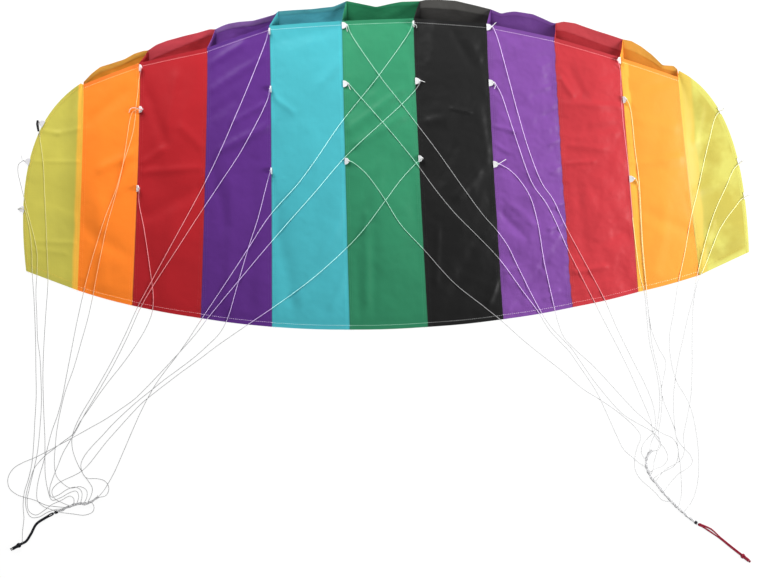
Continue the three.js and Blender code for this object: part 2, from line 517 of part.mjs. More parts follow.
// The pigtails: out along one side, round the loop and back along the other, with a stopper knot.
const loops = PIGTAILS.map((pigtail) => {
  const middle = pigtail.route.map(gridPoint);
  const height = PIGTAIL / 2 + FLOOR_GAP;
  const last = middle.length - 1;
  const heading = (i) => middle[Math.min(i + 1, last)].clone().sub(middle[Math.max(i - 1, 0)]).normalize();
  const strand = (side) => middle.map((point, i) => {
    const direction = heading(i);
    const offset = side * (i === pigtail.eye ? EYE_OFFSET : STRAND_OFFSET);
    return new THREE.Vector3(point.x - direction.y * offset, point.y + direction.x * offset, height);
  });
  const loopEnd = middle[last].clone().addScaledVector(heading(last), STRAND_OFFSET).setZ(height);
  const points = [...strand(1), loopEnd, ...strand(-1).reverse()];
  addPiece(`pigtail_${pigtail.name}`, cordGeometry(points, PIGTAIL), pigtail.colour, 0.7);

  const back = heading(0).negate();
  const knot = new THREE.SphereGeometry(1, 12, 8);
  knot.scale(...STOPPER);
  knot.rotateZ(Math.atan2(back.y, back.x));
  const seat = middle[0].clone().addScaledVector(back, STOPPER[0] + GAP).setZ(STOPPER[2] + FLOOR_GAP);
  knot.translate(...seat);
  const tailEnd = gridPoint(pigtail.tailEnd).setZ(TAIL + FLOOR_GAP);
  const tail = closed(new THREE.ExtrudeGeometry(
    new THREE.Shape().absarc(0, 0, TAIL, 0, 2 * Math.PI),
    { steps: 1, curveSegments: SIDES / 2, extrudePath: new THREE.LineCurve3(seat, tailEnd) },
  ));
  addPiece(`stopper_${pigtail.name}`, toGeometry(toSolid(knot).add(toSolid(tail))), pigtail.colour, 0.7);
  return { points, end: loopEnd, heading: heading(last) };
});

// The bundles, each from its pigtail's loop
for (const bundle of BUNDLES) {
  const loop = loops[bundle.pigtail];
  const start = loop.end.clone().addScaledVector(loop.heading, PIGTAIL / 2 + GAP);
  start.setZ(BUNDLE / 2 + FLOOR_GAP);
  const points = layCord([start, ...bundle.route.map(gridPoint)], BUNDLE);
  addPiece(bundle.name, cordGeometry(points, BUNDLE), LINE_COLOUR, 0.7);
}
for (const loop of loops) markLaid(loop.points, PIGTAIL / 2);

// The bridle lines, each from the point of its tab
for (const line of LINES) {
  const tab = tabs[line.name];
  const start = tab.tip.clone().addScaledVector(tab.out, LINE / 2 + GAP);
  const points = layCord([start, ...line.route.map(gridPoint)], LINE);
  addPiece(`line_${line.name}`, cordGeometry(points, LINE), LINE_COLOUR, 0.7);
}

export default group;
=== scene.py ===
# %% [markdown]
# # A foil kite on its back
#
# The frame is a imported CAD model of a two-line stunt kite: nine cells between ten ribs, a flap at each
# tip, and a bridle of 24 lines. Its solids are plain sheets and tubes. This lesson dresses them: thin
# creased cloth, seams, tabs and braided lines, each in the place that its solid has.

# %% Load the frame
import math

import bpy
import numpy as np
from mathutils import Matrix, Vector, noise
from mathutils.bvhtree import BVHTree


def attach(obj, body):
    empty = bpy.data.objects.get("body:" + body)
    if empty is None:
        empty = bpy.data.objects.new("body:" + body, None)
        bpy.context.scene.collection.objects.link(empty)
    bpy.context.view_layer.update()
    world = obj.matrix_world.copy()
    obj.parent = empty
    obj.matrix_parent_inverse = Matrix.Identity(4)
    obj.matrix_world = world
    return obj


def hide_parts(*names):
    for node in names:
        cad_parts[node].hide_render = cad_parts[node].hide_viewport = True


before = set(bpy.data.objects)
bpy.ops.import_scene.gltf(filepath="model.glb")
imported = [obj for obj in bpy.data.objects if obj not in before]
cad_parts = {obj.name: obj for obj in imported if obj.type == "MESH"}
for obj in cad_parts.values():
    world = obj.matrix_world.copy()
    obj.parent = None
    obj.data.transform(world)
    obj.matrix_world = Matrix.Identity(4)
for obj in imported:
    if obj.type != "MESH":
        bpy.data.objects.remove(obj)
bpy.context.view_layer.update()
MM = 0.001
print("solids in the frame:", len(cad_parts))

# %% [markdown]
# ## The plan grid and the camera
#
# The kite is seen from straight above, so one flat grid serves for the whole plan: a step of the grid
# is 1.79 mm of floor, and a point on it is a column and a row. The kite lies turned a little on that
# grid. A camera could be fitted by eye, but here it follows from the grid: it hangs over the middle of
# the picture, rolled by the same small turn, with a lens that takes in the picture's width.

# %% Grid and camera
STEP = 1.79 * MM
TURN = math.radians(1.6)
KITE_MIDDLE = (382.1, 165.0)
PICTURE = (770, 578)
CAMERA_HEIGHT = 5.0
CAMERA_CLIP = 20.0
SENSOR = 36.0


def on_plan(column, row):
    """The place on the floor, in metres, of a point of the plan grid."""
    right = (column - KITE_MIDDLE[0]) * STEP
    front = (KITE_MIDDLE[1] - row) * STEP
    x = right * math.cos(TURN) + front * math.sin(TURN)
    y = front * math.cos(TURN) - right * math.sin(TURN)
    return np.array((x, y))


scene = bpy.context.scene
camera_data = bpy.data.cameras.new("camera")
camera_data.sensor_width = SENSOR
camera_data.lens = SENSOR * CAMERA_HEIGHT / (PICTURE[0] * STEP)
camera_data.clip_end = CAMERA_CLIP
camera = bpy.data.objects.new("camera", camera_data)
scene.collection.objects.link(camera)
camera.location = (*on_plan(PICTURE[0] / 2, PICTURE[1] / 2), CAMERA_HEIGHT)
camera.rotation_euler = (0, 0, -TURN)
scene.camera = camera
print("camera over", [round(v, 3) for v in camera.location], "lens", round(camera_data.lens, 1))

# %% [markdown]
# ## Floor and light
#
# The picture has a pure white ground and soft light, stronger on the right, where it comes from the
# side, while on the left it comes from the front and falls off towards the back. So there is one large
# light at the right and one in front. A bright world fills the shadows. The ground is a light table, a
# pale plane that glows a little, as in catalogue pictures, so that hardly a shadow is left on it. The
# Standard view keeps the cloth's strong colours as they are.

# %% Floor and lights
FLOOR_SIZE = 30.0
FLOOR_DROP = 0.3 * MM
FLOOR_GLOW = 0.92
WORLD_STRENGTH = 0.22
LIGHTS = {
    "side": {"at": (1.9, -0.3, 1.0), "size": 1.0, "watts": 50},
    "front": {"at": (-0.6, 1.2, 0.85), "size": 1.0, "watts": 32},
}
LIGHT_AIM = Vector((0.0, -0.05, 0.0))


def principled(name, **values):
    """A new material, with its Principled shader's own sockets set."""
    material = bpy.data.materials.new(name)
    material.use_nodes = True
    shader = material.node_tree.nodes["Principled BSDF"]
    for socket, value in values.items():
        shader.inputs[socket.replace("_", " ")].default_value = value
    return material, material.node_tree.nodes, material.node_tree.links, shader


floor_mesh = bpy.data.meshes.new("floor")
half = FLOOR_SIZE / 2
corners = [(-half, -half), (half, -half), (half, half), (-half, half)]
floor_mesh.from_pydata([(x, y, -FLOOR_DROP) for x, y in corners], [], [(0, 1, 2, 3)])
floor = bpy.data.objects.new("floor", floor_mesh)
scene.collection.objects.link(floor)
table_values = {"Base_Color": (0.12, 0.12, 0.12, 1), "Roughness": 0.9, "Specular_IOR_Level": 0.0,
                "Emission_Color": (1, 1, 1, 1), "Emission_Strength": FLOOR_GLOW}
floor_paper = principled("floor_paper", **table_values)[0]
floor_mesh.materials.append(floor_paper)

world = bpy.data.worlds.new("studio")
world.use_nodes = True
world.node_tree.nodes["Background"].inputs["Color"].default_value = (1, 1, 1, 1)
world.node_tree.nodes["Background"].inputs["Strength"].default_value = WORLD_STRENGTH
scene.world = world
scene.view_settings.view_transform = "Standard"

for name, light in LIGHTS.items():
    data = bpy.data.lights.new(name, "AREA")
    data.shape = "DISK"
    data.size = light["size"]
    data.energy = light["watts"]
    lamp = bpy.data.objects.new(name, data)
    scene.collection.objects.link(lamp)
    lamp.location = light["at"]
    lamp.rotation_euler = (LIGHT_AIM - lamp.location).to_track_quat("-Z", "Y").to_euler()
print("lights:", ", ".join(LIGHTS))

# %% [markdown]
# ## The kite's plan
#
# A foil kite is two skins held apart by ribs. Each rib has three ends in plan: the lip of the lower
# skin, the nose of the upper skin, which reaches further, and the back, where both skins meet. The
# same numbers made the solids, so the cloth lands on them. Sizes here are in millimetres.

# %% Ribs and cells
RIB_COLUMNS = ("lip", "nose", "back", "lift", "bow", "rear_tab", "tab_tilt")
RIB_ROWS = [
    ((-529, 158), (-529, 163), (-551, -209), 13, 1.8, None, None),
    ((-428, 193), (-412, 216), (-454, -239), 19, 3.6, 0.518, 35),
    ((-306, 216), (-291, 250), (-332, -265), 23, 2.6, None, None),
    ((-194, 252), (-178, 279), (-205, -284), 25, 2, 0.475, 84),
    ((-64, 257), (-55, 294), (-66, -293), 26, -0.8, 0.45, 18),
    ((64, 258), (76, 290), (74, -292), 26, -2.8, 0.45, 50),
    ((194, 245), (202, 272), (209, -282), 25, -2.8, 0.475, 18),
    ((314, 217), (318, 244), (333, -264), 23, -2.8, None, None),
    ((429, 179), (436, 212), (452, -240), 19, 0, 0.518, 60),
    ((533, 141), (532, 156), (562, -213), 13, -2.6, None, None),
]
RIBS = [dict(zip(RIB_COLUMNS, row)) for row in RIB_ROWS]

# Some seams are sewn unevenly: how far each one wanders to the side along its length.
SEAM_JAG = {6: 0.5, 7: 1.7}
JAG_WAVES = 42           # along a seam
JAG_SEED = (0.5, 7.7)
JAG_SHARES = np.linspace(0, 1, 241)
JAG_WAVE = [noise.noise((share * JAG_WAVES, *JAG_SEED)) for share in JAG_SHARES]
for number, rib in enumerate(RIBS):
    rib["jag"] = SEAM_JAG.get(number, 0)

# Each cell's name, its cloth, how crumpled it is, and the shape of its upper lip: places across the
# cell, and how far forward of a straight edge the lip stands there.
CELL_COLUMNS = ("name", "slot", "crumple", "edge")
CELL_ROWS = [
    ("1_orange", "cloth_orange", 0.35,
     ((0.12, 7.8), (0.26, 12.3), (0.44, 8.7), (0.63, 5), (0.79, 6), (0.93, 3.2))),
    ("2_red", "cloth_red", 0.4, ((0.12, 5.3), (0.28, 6.8), (0.52, 5.7), (0.73, 3.7), (0.92, 3.4))),
    ("3_purple", "cloth_purple", 0.8,
     ((0.1, 2.5), (0.2, 3.4), (0.36, 1.4), (0.61, -4.1), (0.81, -4.1), (0.95, -3.9))),
    ("4_cyan", "cloth_cyan", 0.7, ((0.22, -2), (0.5, -5), (0.8, -6.6), (0.92, -2.9))),
    ("5_green", "cloth_green", 0.9, ((0.17, -4.5), (0.4, -10.4), (0.6, -4.5), (0.74, -1.2))),
    ("6_black", "cloth_black", 1.3, ((0.08, 3.6), (0.27, 7), (0.5, 8), (0.76, 3.9))),
    ("7_purple", "cloth_purple", 2.4,
     ((0.157, -3.8), (0.26, 1.3), (0.37, 5.3), (0.65, 7.6), (0.8, 3.7), (0.95, -1))),
    ("8_red", "cloth_red", 1.7, ((0.11, 6), (0.29, 8.4), (0.58, 4.2), (0.82, 2.1))),
    ("9_orange", "cloth_orange", 0.5,
     ((0.16, 5.5), (0.35, 5.2), (0.54, 1), (0.73, -7.1), (0.94, 2.9))),
]
CELLS = [dict(zip(CELL_COLUMNS, row)) for row in CELL_ROWS]

CLOTH = 1.0          # thickness of the solids' sheets
SEAT = CLOTH + 0.3   # height of what lies on the upper skin
CROWN = 8.0          # rise of the lower skin between two ribs
NOSE_SHARE = 0.45    # height of the curled upper lip, as a share of the rib's lift
CURL_CHORD = 0.09    # share of the chord over which it curls up
BACK_BOW = 1.5       # bow of the trailing edge across one panel
BOW_EARLY = 0.6      # below 1, a seam bows most in front of its middle


def mix(a, b, t):
    return a + (b - a) * t


def seam_line(rib, end, v):
    """Plan points on a rib's seam, from its lip or nose back to the trailing edge."""
    (x0, y0), (x1, y1) = rib[end], rib["back"]
    early = v**BOW_EARLY
    wander = rib["jag"] * np.interp(v, JAG_SHARES, JAG_WAVE)
    return mix(x0, x1, v) + rib["bow"] * 4 * early * (1 - early) + wander, mix(y0, y1, v)


def loft(v):
    """Height of a seam along the chord, as a share of its height at the lip."""
    return np.maximum(1 - v, 0) ** 1.3 * (1 + 1.6 * v)


def crown(v):
    """Rise of a panel's middle along the chord."""
    return CROWN * (1 - v) * (0.55 + 1.8 * v)


def underside(rib, v):
    """Height of the lower skin's solid at a seam, at its lower face."""
    return SEAT + (rib["lift"] - SEAT) * loft(v)


print("ribs:", len(RIBS), "cells:", len(CELLS))

# %% [markdown]
# ## Cords first: where the lines run
#
# Every bridle line was laid on the plan grid, from its tab to its bundle. The routes are lists
# of grid points, as in the solids. They come early because a cord decides how much room the whole
# object takes. Heights are found later, when there is cloth for the lines to lie on.

# %% Routes of the bridle lines
# A line has the number of its rib, or 0 or 11 at a tip, and a letter: a in front, b behind it, then c.
LINES = {
    "0c": [(19.2, 208.4), (24.2, 209.6), (27.4, 218.5), (30.6, 236), (32, 252), (32.3, 272),
        (34.1, 300), (35.5, 335), (36, 370), (36.3, 396), (35, 420), (33.8, 443), (32, 463),
        (28.5, 479), (24.5, 492), (23.2, 505), (24, 518), (22.6, 532), (22.4, 542.6)],
    "0b": [(21.5, 162), (18.6, 164.6), (18, 171.5), (20.4, 183), (24.8, 200), (29.4, 219),
        (34.8, 239.5), (37.3, 254), (37.2, 270), (36, 292), (36.8, 312), (37.8, 340), (40, 357),
        (41, 378), (41.5, 402), (40, 428), (37.5, 452), (33.8, 470), (30, 486), (27.3, 500), (29, 511),
        (36, 515), (44, 510.5), (52, 504.5), (61, 500.5), (70, 496), (74, 498.5), (74, 504.6)],
    "0a": [(40, 138), (43, 160), (45, 200), (47, 245), (48, 281), (46, 312), (44, 345), (43, 375),
        (43.8, 410), (45, 440), (45, 458), (45.5, 476), (48, 490), (52, 500), (60, 498), (70, 492.5),
        (76.5, 491), (78.8, 496), (77, 504.1)],
    "2a": [(140.2, 79), (138.8, 94), (137.2, 106), (136.4, 117), (134, 133), (129, 150), (123.8, 166),
        (117.3, 189), (106.4, 216.5), (97.4, 243.5), (90, 268), (83.5, 293), (77, 322), (71.5, 350),
        (66.5, 376), (62, 399), (58, 414), (52, 431), (47, 450), (43, 464), (39, 478), (37, 490),
        (37.5, 500), (43, 506), (52, 509.5), (63, 512.5), (74, 514), (85, 515), (93, 511.5),
        (94, 505.5), (91, 501.5)],
    "2b": [(134.2, 112.4), (131.2, 120), (127.9, 140), (125.2, 159), (120.4, 181.5), (113.6, 205.5),
        (107.2, 228), (102, 252), (98.4, 269), (92.7, 297), (88, 318), (81, 343), (73.5, 369),
        (65.5, 391), (60.5, 411), (57, 430), (55.3, 447), (54.5, 464), (56.5, 476), (63, 483.5),
        (71, 488), (80, 486.5), (86.5, 490), (87, 497), (84, 503.2)],
    "2c": [(139.5, 200), (145, 231), (150.5, 270), (153.5, 297), (152, 313), (146, 328), (134, 348),
        (121, 366), (109, 381), (98, 396), (89, 409), (80, 422), (73, 434), (64, 441), (55, 448),
        (46, 455), (39.5, 461.5), (34, 469), (30.8, 478), (28, 487), (25.8, 498), (26.5, 509),
        (31, 517), (39, 517), (47, 512.5), (56, 509.3), (63, 508.7)],
    "4a": [(266, 44), (250, 85), (236, 118), (221, 152), (203, 188), (178, 234), (152, 281),
        (138, 306.5), (125, 335), (112.6, 360), (101.5, 380), (91, 398), (82, 413), (75, 427.5),
        (72, 439), (72.8, 450), (76.5, 461), (81, 470), (87, 478), (96, 478.5), (105, 481), (109, 488),
        (106, 495.5), (97.5, 497.2)],
    "4b": [(268, 101), (243, 150), (222, 182), (200, 214.5), (177, 250), (154, 285), (140.5, 308),
        (127.5, 337), (115, 362), (103.5, 382.5), (93, 400.5), (84, 415.5), (76.8, 429.5), (70, 441),
        (63, 453), (58, 465.5), (53, 478), (49.8, 489), (51.5, 497), (58.5, 495), (67, 489.5),
        (76, 487), (81.5, 491), (82, 497.5), (80.5, 503.4)],
    "4c": [(268.5, 180), (258, 220), (249, 247), (238, 284), (227, 320), (219, 334), (207, 346),
        (194, 357.5), (179, 369), (164, 380), (151, 390.5), (139, 400), (126, 411.5), (112, 425),
        (102, 436), (92, 446.5), (84.5, 456), (81, 464.5), (83, 473.5), (88.5, 481), (92.5, 488.5),
        (91, 496), (87.5, 503)],
    "6c": [(417, 163), (401, 180), (385, 201.5), (361, 233), (340, 254.5), (309, 281.5), (271, 309),
        (248, 324.5), (219, 344.5), (199, 359.5), (181, 372.5), (166.5, 383.5), (153, 394),
        (141.5, 403.5), (130, 415.5), (117, 430), (106, 442.5), (97, 454), (90, 463), (82.5, 470.5),
        (74, 475.5), (64, 480), (56, 485), (52, 491), (54.5, 498), (62, 502.5), (71, 505.9)],
    "6a": [(410, 32), (379.5, 76), (341, 124), (315, 162), (299, 183.5), (270, 216), (247, 251),
        (225, 284.5), (203, 317), (194.5, 330), (186, 343), (176, 357), (166, 370), (156.5, 383),
        (149.5, 395), (141, 411.5), (131, 434), (122, 455), (114.5, 472), (108.5, 483), (103.5, 491),
        (99.6, 495.6)],
    "6b": [(416, 90), (401, 106), (382, 123.5), (346, 157), (315, 193), (299, 211), (272, 241.5),
        (240, 279.5), (208, 318), (197, 332.5), (184, 347.5), (171, 361.5), (158, 375.5), (146, 388),
        (134, 399.5), (120, 409.5), (105, 419.5), (89, 428.5), (73, 437.5), (60, 444.5), (47, 451.5),
        (34, 458), (22, 463), (13, 469), (8, 478.5), (9.5, 488), (17, 494.5), (26, 497.5), (36, 500.5),
        (46, 505), (56, 506.5), (67.5, 507.3)],
    "5c": [(353, 163), (366, 174), (385, 200), (400, 224), (424, 250), (454, 283), (483, 306),
        (503, 322), (525, 341.5), (545, 357.5), (563, 371.5), (582, 388), (600, 399.5), (613.5, 408.5),
        (626, 418.5), (636, 428), (641, 436.5), (637.5, 447), (635, 458), (635.5, 470), (641, 479.5),
        (649, 486.5), (656, 493), (662.5, 500), (671.5, 501.6)],
    "5b": [(350, 86), (382, 122.5), (414, 161), (436, 191), (455, 214), (478, 237), (499, 259),
        (520, 287.5), (538.5, 312.5), (549.5, 330), (559.5, 341), (569.5, 351.5), (578.5, 364.5),
        (588.5, 379), (597, 392.5), (604, 407), (611, 422.5), (617.5, 437), (624, 449.5), (633, 457.5),
        (640, 463.5), (646.9, 467)],
    "5a": [(350, 33), (378, 75), (402.5, 106.5), (436, 150.5), (464, 190), (482.6, 215), (497.6, 232),
        (508, 247), (519, 269.5), (541, 312), (552, 328), (562, 338.5), (572, 349), (581, 362),
        (591, 376.5), (601, 389.5), (612, 402.5), (623, 414), (633, 420.5), (642, 425.5), (650, 430),
        (657.5, 436.5), (661, 444), (658, 450), (651.6, 450.6)],
    "7c": [(507, 169), (517, 178), (529.5, 197), (537, 222), (543.5, 260), (552.5, 300), (557.5, 320),
        (564, 337), (575.5, 349.5), (590, 362.5), (604.5, 377.5), (620, 394.5), (634.5, 410),
        (648, 422), (655, 428.5), (664, 434), (672, 437.5), (677, 444.5), (678.5, 455), (675, 465),
        (667.5, 470), (659, 474), (652.6, 479)],
    "7b": [(500, 94), (508, 117), (516.5, 143), (532, 184.5), (546.5, 205), (567.6, 249.5), (581, 276),
        (595, 303), (605, 322.5), (620, 351.5), (630.5, 373), (638, 390), (645.5, 407), (651, 421),
        (653, 432), (659, 441.5), (665.5, 449.5), (668, 458), (663.5, 465.5), (656, 468.5),
        (648.8, 472.6)],
    "7a": [(496, 37), (504, 65), (515.5, 108), (528, 150.5), (541.5, 184), (552, 199), (565, 226),
        (585, 263), (605, 300.5), (617.5, 329), (634, 362.5), (645, 384), (653, 404), (655.5, 420),
        (654, 431), (648.5, 437.5), (643, 444.5), (641.5, 453), (646.3, 461)],
    "9a": [(619.4, 72), (619.9, 88.4), (620.5, 101), (621.2, 111.3), (622.4, 124.6), (627.4, 166),
        (633, 226), (640, 276), (644.5, 293), (647, 319), (650, 344), (655, 365), (659, 387),
        (659.8, 405), (658, 421), (655.5, 432.5), (651.5, 442), (648.2, 455)],
    "9c": [(637, 184), (639.5, 212), (642.5, 257), (647, 294), (649.5, 321), (652.5, 346), (657.3, 367),
        (661.5, 388), (662, 406), (660.5, 421), (658.5, 432), (659.5, 442), (657, 451), (654.5, 461),
        (653, 469), (650.4, 475.5)],
    "9b": [(629, 108), (634, 149), (638, 180), (642, 243), (645.5, 281), (648, 306), (651.5, 329),
        (659, 348.5), (666, 362), (664, 376), (661.5, 391), (664.5, 403), (669.5, 415), (674.5, 428),
        (678, 440), (684.5, 448.5), (690.5, 455), (692.5, 462.5), (687, 468.5), (679, 473.5),
        (672, 481), (663, 492)],
    "11c": [(741, 199.5), (735.4, 206.8), (726.7, 218), (718.9, 231), (712.4, 246.5), (705, 265.5),
        (698.8, 279.5), (695, 293), (692.8, 317), (692.3, 345), (692.3, 370), (691, 396), (687, 419),
        (683.5, 437), (684.5, 448), (682, 458.5), (675, 464), (667.5, 468), (661, 474), (654.9, 482)],
    "11b": [(734.6, 168), (725.6, 187.5), (714, 213.5), (704.8, 243), (697.6, 273), (693, 297.5),
        (689.2, 312.5), (683.6, 337), (678.5, 360), (675, 382), (673.5, 403), (675, 427), (677, 441),
        (679, 455), (680.5, 468), (681.5, 482), (681.5, 495), (678, 507.7)],
    "11a": [(716.6, 115), (709, 141), (697, 192), (690.5, 218), (684, 255), (678.6, 281), (674, 311),
        (669.5, 340), (672, 365), (677, 382), (686, 397), (691.5, 410), (697, 437), (699, 465),
        (696.5, 489), (691, 503), (683, 512.3)],
}
# A pigtail's knotted tail, the point of its route where its two sides part for an eye, how much thicker
# it is towards its loop, and its route from the knot on.
PIGTAILS = {
    "black": {"tail": (11.5, 550.5), "eye": None, "swell": 0.06,
              "route": [(21.5, 543.8), (26, 541.3), (31, 534), (36.5, 524), (46, 517.5), (53, 513.6)]},
    "red": {"tail": (751, 560.8), "eye": 3, "swell": 0.4,
            "route": [(740.5, 554.2), (731.5, 547.2), (719, 537), (710.5, 530.3), (702, 525.6),
                      (699, 524.4)]},
}
BUNDLES = {
    "bundle_left": {"pigtail": "black", "route": [(66, 508), (73, 505), (80, 503.5), (88, 503), (94, 500),
                                                  (99, 496)]},
    "bundle_right": {"pigtail": "red", "route": [(689, 517.5), (681, 510.5), (673, 503), (666, 495.5),
                                                 (659, 487.5), (653, 479.5), (648.5, 472), (646, 464),
                                                 (647.5, 456), (652, 450)]},
}
print("bridle lines:", len(LINES))

# %% [markdown]
# ## Creases
#
# Cloth that was packed away keeps soft creases. Noise alone would look like a lumpy blanket, so each
# crease that shows is given as a stroke on the grid, with its rise or dip and its half width
# in millimetres. Broad folds are wide strokes, sharp ones narrow. A little noise comes on top, more
# on the panels that are crumpled most.

# %% Crease strokes
# piece, from column and row, to column and row, rise, half width
CREASES = [
    ("tip_left", 36, 161.5, 79, 162, 0.45, 3),
    ("tip_left", 45, 131, 58, 133.5, 0.5, 4),
    ("tip_left", 57, 133.5, 79, 129, 0.5, 4),
    ("tip_left", 34, 241, 75, 243, 0.5, 4),
    ("tip_left", 33, 249, 64, 253, 0.4, 4),
    ("tip_left", 30, 190, 74, 205, -1.0, 14),
    ("1_orange", 104, 168, 140, 152, 1.4, 9),
    ("1_orange", 121, 190, 136, 170, 1.0, 8),
    ("1_orange", 92, 120, 122, 96, -1.2, 12),
    ("1_orange", 88, 230, 118, 250, -1.2, 14),
    ("1_orange", 100, 205, 104, 280, 0.9, 12),
    ("2_red", 143, 172.5, 207, 168, 0.9, 7),
    ("2_red", 144, 163, 162, 151, 1.1, 7),
    ("2_red", 177, 80, 169, 125, 1.1, 10),
    ("2_red", 150, 98, 165, 140, -1.0, 10),
    ("2_red", 185, 130, 200, 145, 0.9, 9),
    ("2_red", 150, 215, 200, 190, -1.3, 14),
    ("2_red", 165, 285, 175, 215, 0.9, 14),
    ("3_purple", 209, 67, 242, 46, 1.3, 7),
    ("3_purple", 214, 90, 262, 60, 1.2, 8),
    ("3_purple", 224, 149, 268, 127, 1.8, 8),
    ("3_purple", 236, 122, 264, 106, 1.1, 6),
    ("3_purple", 210, 118, 232, 102, -1.0, 9),
    ("3_purple", 254, 165, 250, 300, -1.0, 13),
    ("3_purple", 232, 185, 229, 300, 1.0, 11),
    ("3_purple", 214, 170, 226, 225, -1.1, 11),
    ("4_cyan", 344, 211, 300, 298, 1.6, 11),
    ("4_cyan", 349, 268, 333, 305, 1.2, 8),
    ("4_cyan", 272, 96, 292, 112, 1.0, 6),
    ("4_cyan", 346, 58, 322, 84, 1.1, 9),
    ("4_cyan", 285, 40, 330, 32, -0.9, 12),
    ("4_cyan", 276, 210, 292, 300, -1.2, 13),
    ("4_cyan", 310, 130, 318, 190, 0.7, 14),
    ("5_green", 350, 130, 398, 94, 1.7, 8),
    ("5_green", 360, 143, 400, 119, 1.4, 8),
    ("5_green", 352, 112, 372, 88, -1.2, 8),
    ("5_green", 357, 262, 359, 312, -0.8, 7),
    ("5_green", 375, 225, 374, 312, -0.9, 9),
    ("5_green", 366, 215, 367, 300, 1.0, 7),
    ("5_green", 383, 165, 371, 215, 1.1, 10),
    ("5_green", 400, 140, 415, 215, -1.0, 14),
    ("5_green", 396, 40, 412, 80, 0.9, 11),
    ("6_black", 453, 110, 469, 113, 2.0, 3.5),
    ("6_black", 434, 25, 431, 60, 1.1, 9),
    ("6_black", 455, 38, 470, 66, -1.6, 8),
    ("6_black", 463, 30, 478, 60, 1.4, 8),
    ("6_black", 430, 122, 462, 116, 1.3, 8),
    ("6_black", 459, 196, 476, 176, 1.7, 9),
    ("6_black", 440, 178, 452, 150, -1.4, 11),
    ("6_black", 438, 230, 436, 280, 1.4, 6),
    ("6_black", 489, 302, 498, 280, 1.7, 6),
    ("6_black", 455, 290, 476, 245, -1.4, 12),
    ("6_black", 478, 110, 488, 150, 1.0, 10),
    ("7_purple", 494, 127, 514, 132, 1.5, 4),
    ("7_purple", 496, 146, 506, 152, 1.2, 4),
    ("7_purple", 555, 61, 541, 67, 0.8, 4),
    ("7_purple", 567, 201, 553, 207, 1.8, 4),
    ("7_purple", 567, 222, 550, 229, 1.8, 4),
    ("7_purple", 536, 266, 557, 238, 1.8, 7),
    ("7_purple", 503, 272, 518, 267, 1.4, 5),
    ("7_purple", 545, 298, 558, 291, 1.6, 4),
    ("7_purple", 502, 214, 523, 236, -1.8, 8),
    ("7_purple", 512, 206, 530, 222, 1.3, 7),
    ("7_purple", 520, 300, 545, 262, -1.7, 8),
    ("7_purple", 500, 60, 530, 42, 1.0, 10),
    ("7_purple", 515, 110, 545, 92, -1.2, 11),
    ("7_purple", 557, 84, 545, 89, 1.4, 3),
    ("7_purple", 559, 108, 546, 116, -1.6, 4),
    ("7_purple", 562, 138, 549, 145, 1.5, 3),
    ("7_purple", 564, 165, 551, 173, 1.4, 3),
    ("8_red", 561, 80, 571, 96, 1.7, 5),
    ("8_red", 566, 164, 592, 162, 1.2, 4),
    ("8_red", 570, 72, 580, 92, -1.6, 7),
    ("8_red", 571, 104, 621, 108, 1.5, 7),
    ("8_red", 576, 133, 612, 128, -1.1, 9),
    ("8_red", 571, 146, 600, 150, 1.1, 6),
    ("8_red", 577, 190, 583, 235, -1.2, 10),
    ("8_red", 576, 272, 603, 267, 1.6, 5),
    ("8_red", 600, 180, 622, 215, 1.0, 13),
    ("8_red", 590, 250, 620, 232, -1.0, 11),
    ("9_orange", 636, 120, 672, 128, 0.9, 11),
    ("9_orange", 640, 164, 685, 158, 1.1, 9),
    ("9_orange", 650, 215, 688, 232, -1.1, 12),
    ("9_orange", 655, 270, 665, 210, 0.8, 13),
    ("9_orange", 632, 92, 660, 84, -0.9, 10),
    ("tip_right", 718, 222, 746, 221, -1.0, 3.5),
    ("tip_right", 702, 108, 696, 140, 1.0, 7),
    ("tip_right", 700, 190, 735, 175, 1.1, 9),
    ("tip_right", 704, 250, 742, 238, 1.1, 8),
    ("tip_right", 706, 150, 722, 120, -1.0, 9),
    ("tip_right", 712, 225, 700, 262, 0.9, 6),
]
CREASE_GAIN = 1.5        # all strokes are this much stronger than their numbers
CREASE_END = 1.5         # a stroke's ends fade out over this many half widths
CRUMPLE_SIZE = 38.0
CRUMPLE_FRACTAL = (0.9, 2.1, 4)     # how fast its detail fades, how much finer it gets, and how often


def crease_rise(piece, x, y):
    """Summed rise in millimetres of a piece's creases at plan points in millimetres."""
    total = np.zeros_like(x)
    for name, column0, row0, column1, row1, rise, width in CREASES:
        if name != piece:
            continue
        start = on_plan(column0, row0) / MM
        stroke = on_plan(column1, row1) / MM - start
        reach = np.hypot(*stroke)
        along = ((x - start[0]) * stroke[0] + (y - start[1]) * stroke[1]) / reach
        aside = ((x - start[0]) * stroke[1] - (y - start[1]) * stroke[0]) / reach
        past = np.maximum(np.abs(along - reach / 2) - reach / 2, 0)
        total += rise * np.exp(-((aside / width) ** 2) - (past / (CREASE_END * width)) ** 2)
    return CREASE_GAIN * total


def crumple(x, y, seed, scale=CRUMPLE_SIZE):
    """Uneven noise about zero, of height about one, at plan points in millimetres."""
    flat = zip((x / scale).ravel(), (y / scale).ravel())
    values = [noise.fractal((a, b, seed), *CRUMPLE_FRACTAL) for a, b in flat]
    return np.array(values).reshape(x.shape)


print("creases:", len(CREASES))
